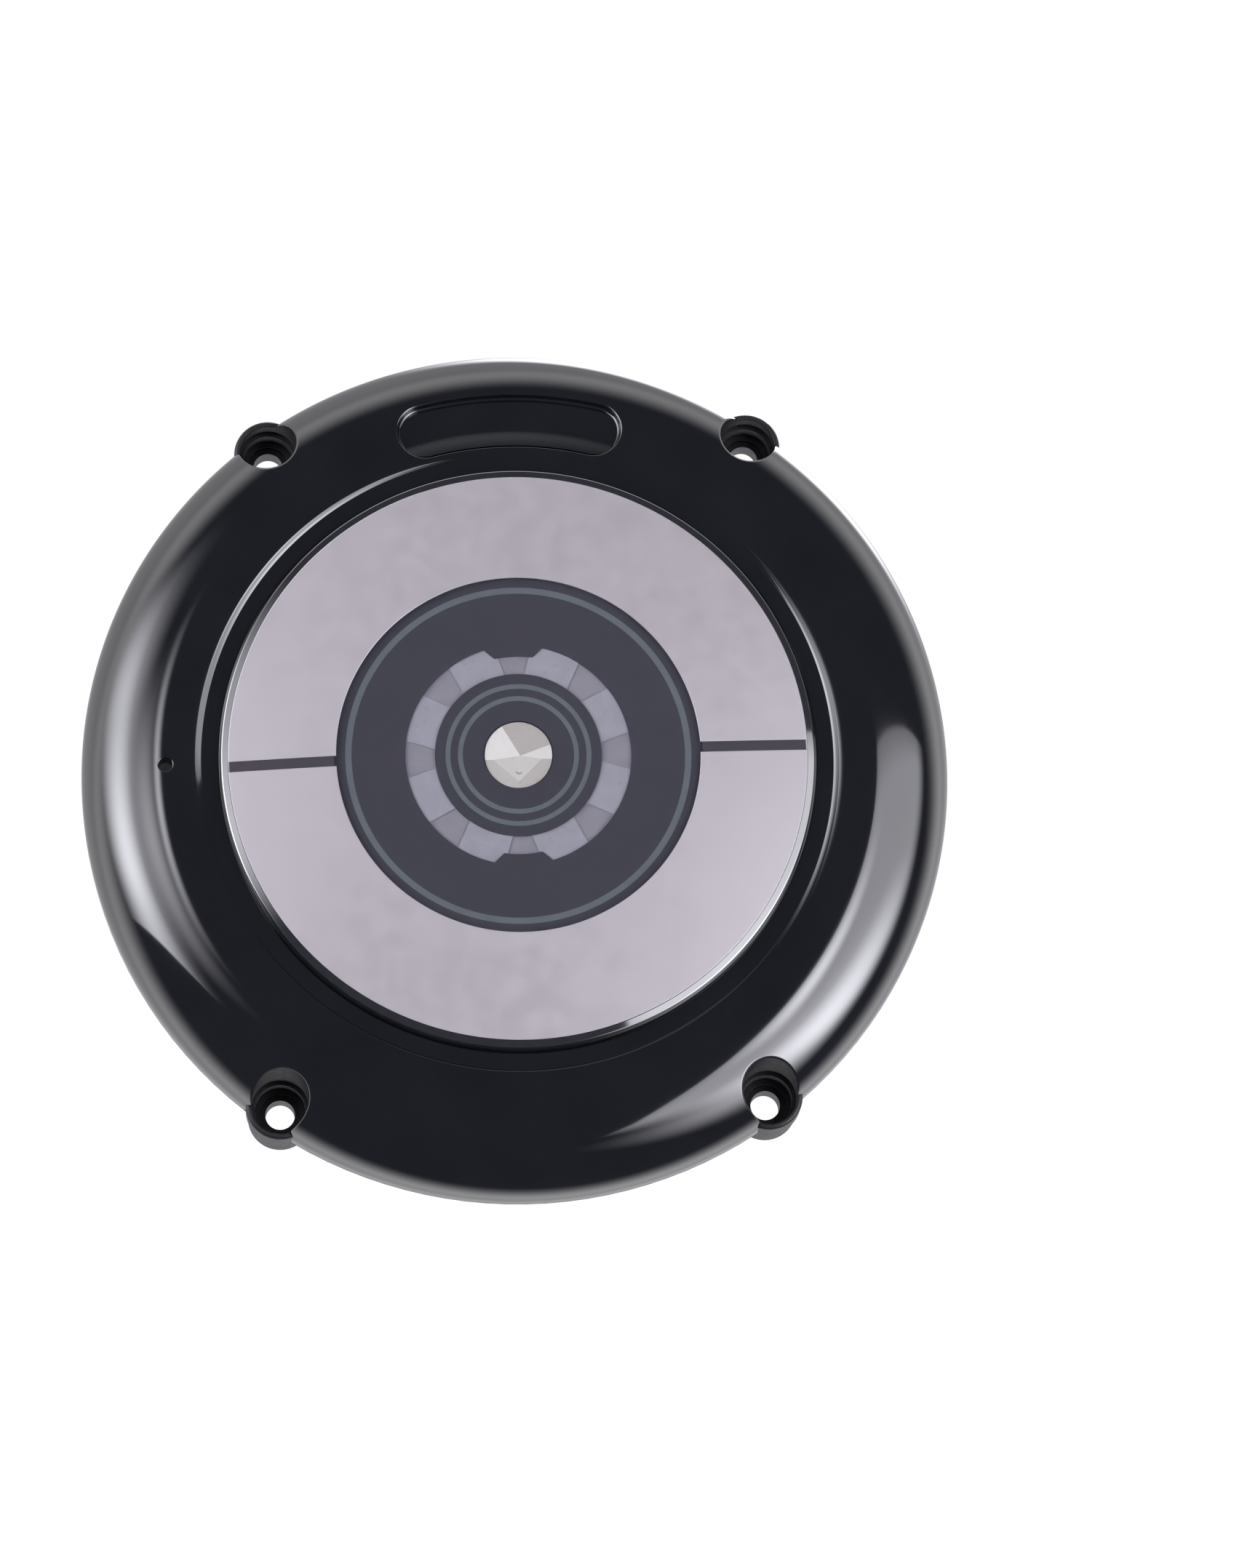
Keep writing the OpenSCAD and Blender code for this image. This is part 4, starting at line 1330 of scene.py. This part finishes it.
    def opening(self) -> np.ndarray:
        """Outline of the mask's opening, with its two notches.

        Returns:
            Rows of (x, v).
        """
        corner = math.asin(self.notch_half_w / self.notch_r)
        shoulder = math.asin(self.shoulder_half_w / self.opening_r)
        parts = []
        for base in (0.5 * math.pi, 1.5 * math.pi):
            parts.append(polar(self.notch_r, np.linspace(base - corner, base + corner, 15)))
            ends = base + shoulder, base + math.pi - shoulder
            parts.append(polar(self.opening_r, np.linspace(*ends, 90)))
        return turned(np.concatenate(parts), math.radians(self.size.window_turn))

    def mask(self, finish: bpy.types.Material) -> bpy.types.Object:
        """Builds the dark print round the optics.

        Args:
            finish: Its finish.

        Returns:
            The mask.
        """
        size, draft, top = self.size, Draft(), self.mask_top
        hole = self.opening()
        rim = Track.circle(steps=180)
        points = np.vstack((hole, rim.outward * size.mask_r, rim.outward * self.mask_mid_r))
        n, m = len(hole), len(rim.outward)
        edges = [(k, (k + 1) % n) for k in range(n)]
        edges += [(n + k, n + (k + 1) % m) for k in range(m)]
        flat, tris = triangles(points, edges, 1e-6)
        outside = [not self.within(p, hole) for p in flat[tris].mean(axis=1)]
        draft.add(at_height(flat, top), (0.0, 0.0, 1.0), tris[outside])
        draft.strip(at_height(hole, top), at_height(hole, size.mask_h), at_height(-hole, 0.0))
        draft.sweep(rim, Section.rounded([(size.mask_r, size.mask_h), (size.mask_r, top)]))
        return draft.build("mask", [finish])

    @staticmethod
    def within(p: np.ndarray, outline: np.ndarray) -> bool:
        """Tests whether a point is inside an outline.

        Args:
            p: The point.
            outline: Rows of (x, v).

        Returns:
            True if it is inside.
        """
        a, b = outline, np.roll(outline, -1, axis=0)
        cross = (a[:, 1] > p[1]) != (b[:, 1] > p[1])
        with np.errstate(divide="ignore", invalid="ignore"):
            x = a[:, 0] + (p[1] - a[:, 1]) * (b[:, 0] - a[:, 0]) / (b[:, 1] - a[:, 1])
        return bool(np.sum(cross & (x > p[0])) % 2)

    @staticmethod
    def rings(
        name: str,
        spans: Sequence[tuple[float, float]],
        low: float,
        top: float,
        finish: bpy.types.Material,
    ) -> bpy.types.Object:
        """Builds flat rings.

        Args:
            name: Name of the piece.
            spans: Inner and outer radius of each ring.
            low: Underside.
            top: Upper side.
            finish: Its finish.

        Returns:
            The piece.
        """
        draft = Draft()
        for r0, r1 in spans:
            corners = [(r0, top), (r0, low), (r1, low), (r1, top)]
            draft.sweep(Track.circle(), Section.rounded(corners, closed=True))
        return draft.build(name, [finish])

    def facets(self, finish: bpy.types.Material) -> bpy.types.Object:
        """Builds the raised facets, one facet turned round the centre.

        Args:
            finish: Their finish, painted lighter than the sunk ring as painted light.

        Returns:
            The facets.
        """
        draft, low = Draft(), self.size.mask_h
        outline, edge = self.facet(0.0), self.facet(self.facet_inset)
        top = at_height(edge, low + self.facet_rise)
        draft.strip(at_height(outline, low), top, at_height(unit(outline - edge), 1.0))
        draft.add(top, (0.0, 0.0, 1.0), [range(len(top))])
        obj = draft.build("facets", [finish])
        turn = math.radians(self.size.window_turn + self.facet_half_turn)
        Repeat(count=8, turn=turn).apply(obj, finish)
        return obj

    def facet(self, inset: float) -> np.ndarray:
        """Outline of a raised facet, whose straight edges meet off the centre.

        Args:
            inset: Distance that its edges move in.

        Returns:
            Rows of (x, v).
        """
        lean = math.atan2(self.FACET_EDGE[1], self.FACET_EDGE[0])
        meet = self.FACET_EDGE_AT[0] - self.FACET_EDGE_AT[1] / math.tan(lean)
        away = meet * math.sin(lean) + inset
        half_turn = math.radians(self.facet_half_turn)
        parts = []
        for r, order in ((self.facet_low_r + inset, 1), (self.facet_high_r - inset, -1)):
            half = half_turn - (lean - math.asin(min(1.0, away / r)))
            parts.append(polar(r, np.linspace(-half, half, 9)[::order]))
        return np.concatenate(parts)

    def lens(self, finish: bpy.types.Material) -> bpy.types.Object:
        """Builds the faceted lens.

        Args:
            finish: Its finish, which paints each facet paler or darker as painted light and shade.

        Returns:
            The lens.
        """
        draft, r, base = Draft(), self.lens_r, self.size.mask_h + self.lens_lift
        hub, tip = (0.08, -0.05, 0.11), (0.0, -1.3, 0.02)
        left, right = (-1.22, -0.22, 0.05), (1.12, -0.2, 0.05)

        def arc(a0: float, a1: float, h: float) -> np.ndarray:
            """Part of the lens's edge at one height."""
            angles = np.linspace(a0, a1, max(3, int((a1 - a0) / 5)))
            return at_height(polar(r, np.radians(angles)), h)

        # Each facet's value paints it lighter or darker as painted light and shade; the side and
        # the dot take low values.
        for tone_and_painted_light, corners in (
            (0.3, (hub, *arc(18, 118, 0.05))),
            (1.0, (hub, *arc(118, 188, 0.04), left)),
            (0.92, (hub, right, *arc(352, 378, 0.045))),
            (0.62, (hub, left, tip, right)),
            (0.42, (left, *arc(188, 270, 0.02), tip)),
            (0.36, (tip, *arc(270, 352, 0.02), right)),
        ):
            pts = np.array(corners) + (0.0, 0.0, base)
            n = np.cross(pts[1] - pts[0], pts[len(pts) // 2] - pts[0])
            draft.add(pts, n if n[2] > 0 else -n, [range(len(pts))], tone_and_painted_light=tone_and_painted_light)
        side = Section.rounded([(r, base - self.lens_skirt), (r, base + 0.03)])
        draft.sweep(Track.circle(steps=96), side, tone_and_painted_light=0.3)
        dot_r, dot_v, dot_h = 0.16, -0.8, base + 0.05
        dot = Section.rounded([(dot_r, dot_h), (0.0, dot_h)])
        draft.sweep(Track.circle((0.0, dot_v), 32), dot, tone_and_painted_light=0.05)
        return draft.build("lens", [finish])


def build_seal(size: Cover, finish: bpy.types.Material) -> bpy.types.Object:
    """Builds the gasket, whose section is the same on both sides.

    Args:
        size: The cover's sizes.
        finish: Its finish.

    Returns:
        The gasket.
    """
    crest, body = 0.24, 0.425
    half = ((crest, -0.25, 0.12), (crest, -0.12, 0.05), (body, -0.1, 0.12), (body, 0.55))
    other = [(-across, *rest) for across, *rest in reversed(half)]
    draft = Draft()
    draft.sweep(Track.dodged(size), Section.rounded([*other, *half], closed=True))
    return draft.build("seal", [finish])


@dataclass(frozen=True)
class Softbox:
    """Soft light whose brightness changes across its face.

    The turn runs from the outer face's normal to the right, the rise upwards, in degrees. Width
    and height are angles as seen from the cover.
    """

    name: str
    turn: float
    rise: float
    width: float
    height: float
    radiance: float
    across: Stops = ((0.0, 0.0), (0.5, 1.0), (1.0, 0.0))
    upright: Stops = ((0.0, 0.0), (0.5, 1.0), (1.0, 0.0))
    distance: float = 0.6
    colour: tuple[float, float, float] = (0.93, 0.93, 1.0)

    def build(self) -> None:
        """Makes the light."""
        turn, rise = math.radians(self.turn), math.radians(self.rise)
        flat = math.cos(rise)
        way = Vector((math.sin(turn) * flat, -math.cos(turn) * flat, math.sin(rise)))
        data = bpy.data.lights.new(self.name, "AREA")
        data.shape = "RECTANGLE"
        data.size, data.size_y = (
            2 * self.distance * math.tan(math.radians(angle / 2))
            for angle in (self.width, self.height)
        )
        data.energy = self.radiance * math.pi * data.size * data.size_y
        data.color = self.colour
        data.use_nodes = True
        self.grade(Graph(data.node_tree))
        obj = bpy.data.objects.new(self.name, data)
        look = way.to_track_quat("Z", "Y").to_matrix().to_4x4()
        obj.matrix_world = Matrix.Translation(way * self.distance) @ look
        obj.visible_camera = False
        bpy.context.scene.collection.objects.link(obj)

    def grade(self, graph: Graph) -> None:
        """Lets the light fade across its face.

        Args:
            graph: The light's nodes.
        """
        place = graph.add("ShaderNodeNewGeometry").outputs["Parametric"]
        axes = graph.add("ShaderNodeSeparateXYZ", {0: place}).outputs
        across, upright = graph.ramp(axes[0], self.across), graph.ramp(axes[1], self.upright)
        level = graph.calc("MULTIPLY", across, upright)
        glow = graph.add("ShaderNodeEmission", {"Strength": level})
        graph.add("ShaderNodeOutputLight", {"Surface": glow.outputs[0]})


KEY_LEFT: Stops = ((0, 0.62), (0.25, 1), (0.62, 0.62), (1, 0))
KEY_RIGHT: Stops = ((0, 0), (0.55, 1), (1, 0))
FILL_ACROSS: Stops = ((0, 0.8), (0.06, 1), (0.7, 1), (1, 0))
FILL_UPRIGHT: Stops = ((0, 0), (0.3, 1), (0.92, 0.85), (1, 0.5))

SOFTBOXES: tuple[Softbox, ...] = (
    Softbox("key_left", -57, 15, 68, 52, 7.0, upright=KEY_LEFT),
    Softbox("fill_left", -24, 8, 22, 28, 2.6),
    Softbox("strip_left", -14, 12, 8, 20, 3.5),
    Softbox("key_right", 54, -28, 66, 62, 5.2, upright=KEY_RIGHT),
    Softbox("fill_right", 49, -12, 66, 56, 2.6, across=FILL_ACROSS, upright=FILL_UPRIGHT),
    Softbox("edge_right", 21, -1, 12, 24, 4.0),
    Softbox("rear", 158, 42, 44, 44, 10.0),
)


@dataclass(frozen=True)
class Studio:
    """Camera, backdrop and lights. Picture sizes are pixels of the photograph's frame."""

    toward: tuple[float, float, float] = (-0.0390, -0.9712, -0.2351)
    roll: float = 1.54
    focal: float = 9901.5
    centre: tuple[float, float] = (154.5, 7.5)
    frame: float = 2156
    sensor: float = 36
    distance: float = 0.35
    front: tuple[float, float, float] = (0.083, 0.088, 0.108)
    behind: tuple[float, float, float] = (1.261, 1.261, 1.3)
    fade: Stops = ((0.0, 0.0), (0.43, 0.0), (0.68, 1.0), (0.8, 0.62), (1.0, 0.4))
    fade_way: tuple[float, float, float] = (-0.06, 0.4, 0.24)
    floor_z: float = -0.0211
    floor_half: float = 2.0

    def camera(self) -> None:
        """Sets the camera as fitted to the cover's rings."""
        toward = Vector(self.toward).normalized()
        side = Vector((0, 0, 1)).cross(toward).normalized()
        over = toward.cross(side).normalized()
        roll = math.radians(self.roll)
        right = side * math.cos(roll) - over * math.sin(roll)
        up = side * math.sin(roll) + over * math.cos(roll)
        x, y = (at / self.focal for at in self.centre)
        aim = (-toward + right * x - up * y).normalized()
        look = (right - aim * right.dot(aim)).normalized()
        data = bpy.data.cameras.new("camera")
        data.lens = self.focal * self.sensor / self.frame
        data.sensor_width = self.sensor
        data.sensor_fit = "AUTO"
        data.clip_start = 0.01
        data.clip_end = 10
        obj = bpy.data.objects.new("camera", data)
        turn = Matrix((look, look.cross(aim).normalized(), -aim)).transposed().to_4x4()
        obj.matrix_world = Matrix.Translation(toward * self.distance) @ turn
        bpy.context.scene.collection.objects.link(obj)
        bpy.context.scene.camera = obj

    def world(self) -> None:
        """Sets a white backdrop, which fades towards the camera's side for what it lights."""
        world = bpy.data.worlds.new("world")
        world.use_nodes = True
        graph = Graph(world.node_tree)
        inputs = {0: graph.add("ShaderNodeTexCoord").outputs["Generated"], 1: self.fade_way}
        lean = graph.add("ShaderNodeVectorMath", inputs, operation="DOT_PRODUCT")
        level = graph.ramp(graph.calc("ADD", lean.outputs["Value"], 0.5), self.fade)
        tone = graph.mix(level, self.front, self.behind)
        fade = graph.add("ShaderNodeBackground", {"Color": tone})
        white = graph.add("ShaderNodeBackground", {"Color": (1, 1, 1, 1)})
        ray = graph.add("ShaderNodeLightPath").outputs["Is Camera Ray"]
        inputs = {"Fac": ray, 1: fade.outputs[0], 2: white.outputs[0]}
        mix = graph.add("ShaderNodeMixShader", inputs)
        graph.add("ShaderNodeOutputWorld", {"Surface": mix.outputs[0]})
        bpy.context.scene.world = world

    def floor(self) -> bpy.types.Object:
        """Builds a plain pale floor that the cover stands on, clear when seen from below.

        Returns:
            The floor.
        """
        tree = Paint("floor")
        cloud = tree.span(tree.noise(4.0), 0, 1)
        pale = tree.mix(cloud, (0.83, 0.83, 0.83), (0.85, 0.85, 0.85))
        tree.dress({"Base Color": pale, "Roughness": 0.9})
        ray = tree.add("ShaderNodeLightPath").outputs["Is Camera Ray"]
        glow = tree.add("ShaderNodeEmission", {"Strength": tree.span(ray, 0.0, 0.55, 0.0, 1.0)})
        both = tree.add("ShaderNodeAddShader", {0: tree.surface.outputs[0], 1: glow.outputs[0]})
        back = tree.add("ShaderNodeNewGeometry").outputs["Backfacing"]
        clear = tree.add("ShaderNodeBsdfTransparent")
        inputs = {"Fac": back, 1: both.outputs[0], 2: clear.outputs[0]}
        mix = tree.add("ShaderNodeMixShader", inputs)
        tree.feed(tree.output.inputs["Surface"], mix.outputs[0])
        mesh = bpy.data.meshes.new("floor")
        w, z = self.floor_half, self.floor_z
        mesh.from_pydata([(-w, -w, z), (w, -w, z), (w, w, z), (-w, w, z)], [], [(0, 1, 2, 3)])
        mesh.materials.append(tree.material)
        obj = bpy.data.objects.new("floor", mesh)
        obj.visible_glossy = False
        obj.visible_shadow = False
        bpy.context.scene.collection.objects.link(obj)
        return obj

    def build(self) -> None:
        """Builds the whole studio."""
        self.camera()
        self.world()
        self.floor()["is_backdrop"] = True
        for box in SOFTBOXES:
            box.build()
        view = bpy.context.scene.view_settings
        view.view_transform = "Standard"
        view.look = "None"
        view.exposure = 0.0
        view.gamma = 1.0


class CoverScene:
    """Puts the pieces on the frame."""

    def __init__(self) -> None:
        """Loads the frame and makes the finishes."""
        self.size = Cover()
        self.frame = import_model()
        self.first_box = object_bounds()
        self.replaced: set[str] = set()
        self.finishes = {name: f.make(name) for name, f in FINISHES.items()}
        self.finishes["window_glass"] = clear_finish()
        self.finishes["lens_plastic"] = lens_finish()

    def put(self, piece: bpy.types.Object, slot: str, *nodes: str) -> None:
        """Puts a piece in place of nodes of the frame.

        Args:
            piece: The piece.
            slot: Material slot of the record; not used.
            *nodes: Nodes that it stands for.
        """
        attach(piece, ROOT)
        if nodes:
            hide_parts(*nodes)
        self.replaced.update(nodes)

    def dress(self) -> None:
        """Gives the nodes of the frame that no piece stands for their finishes."""
        slots = {s["node"]: s["material_slot"] for s in self.frame["record"]["subparts"]}
        for name, obj in self.frame["nodes"].items():
            if name in self.replaced:
                continue
            for place in obj.material_slots:
                place.material = self.finishes[slots[name]]

    def window(self) -> None:
        """Builds the glass and all that belongs to the window."""
        fin, window = self.finishes, WindowBuilder(self.size)
        glass = window.glass([fin["window_glass"], fin["glass_rim"], fin["split_print"]])
        self.put(glass, "window_glass", "cover_glass")
        plating, ink, film = fin["electrode_plating"], fin["line_ink"], fin["mask_film"]
        self.put(window.electrode(1, plating), "electrode_plating", "upper_electrode")
        self.put(window.electrode(-1, plating), "electrode_plating", "lower_electrode")
        self.put(window.mask(film), "mask_film", "window_mask")
        low, high = self.size.mask_h, self.size.window_h
        levels = high - window.line_deep, high - window.line_sunk
        disc = window.rings("disc", window.DISC, low, window.mask_top, film)
        self.put(disc, "mask_film", "centre_mask")
        outer = window.rings("outer_ring", window.OUTER_LINE, *levels, ink)
        self.put(outer, "line_ink", "outer_line")
        inner = window.rings("inner_rings", window.CENTRE_LINES, *levels, ink)
        self.put(inner, "line_ink", "centre_lines")
        deep = low - window.optic_deep
        # The sunk ring and the raised facets are one plastic, painted darker and lighter as painted
        # shade and painted light.
        optics = window.rings("optics", window.OPTICS, deep, low, fin["optic_sunk_painted_shade"])
        self.put(optics, "optic_plastic", "optic_ring")
        self.put(window.facets(fin["optic_raised_painted_light"]), "optic_plastic")
        self.put(window.lens(fin["lens_plastic"]), "lens_plastic", "centre_lens")

    def build(self) -> None:
        fin = self.finishes
        shell = ShellBuilder(self.size).build(
            self.frame["nodes"]["rear_shell"], [fin["shell"], fin["shell_inside"], fin["bore"]]
        )
        self.put(shell, "shell", "rear_shell")
        self.window()
        self.put(build_seal(self.size, fin["gasket_rubber"]), "gasket_rubber", "gasket")
        self.dress()
        Studio().build()
        self.write_size()

    def write_size(self) -> None:
        """Works out the first and the final box; they are not kept."""
        boxes = {
            "frame": [list(map(float, corner)) for corner in self.first_box],
            "final": [list(map(float, corner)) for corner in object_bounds()],
        }


def main() -> None:
    """Builds the scene."""
    logging.basicConfig(level=logging.INFO)
    CoverScene().build()


if __name__ == "__main__":
    main()
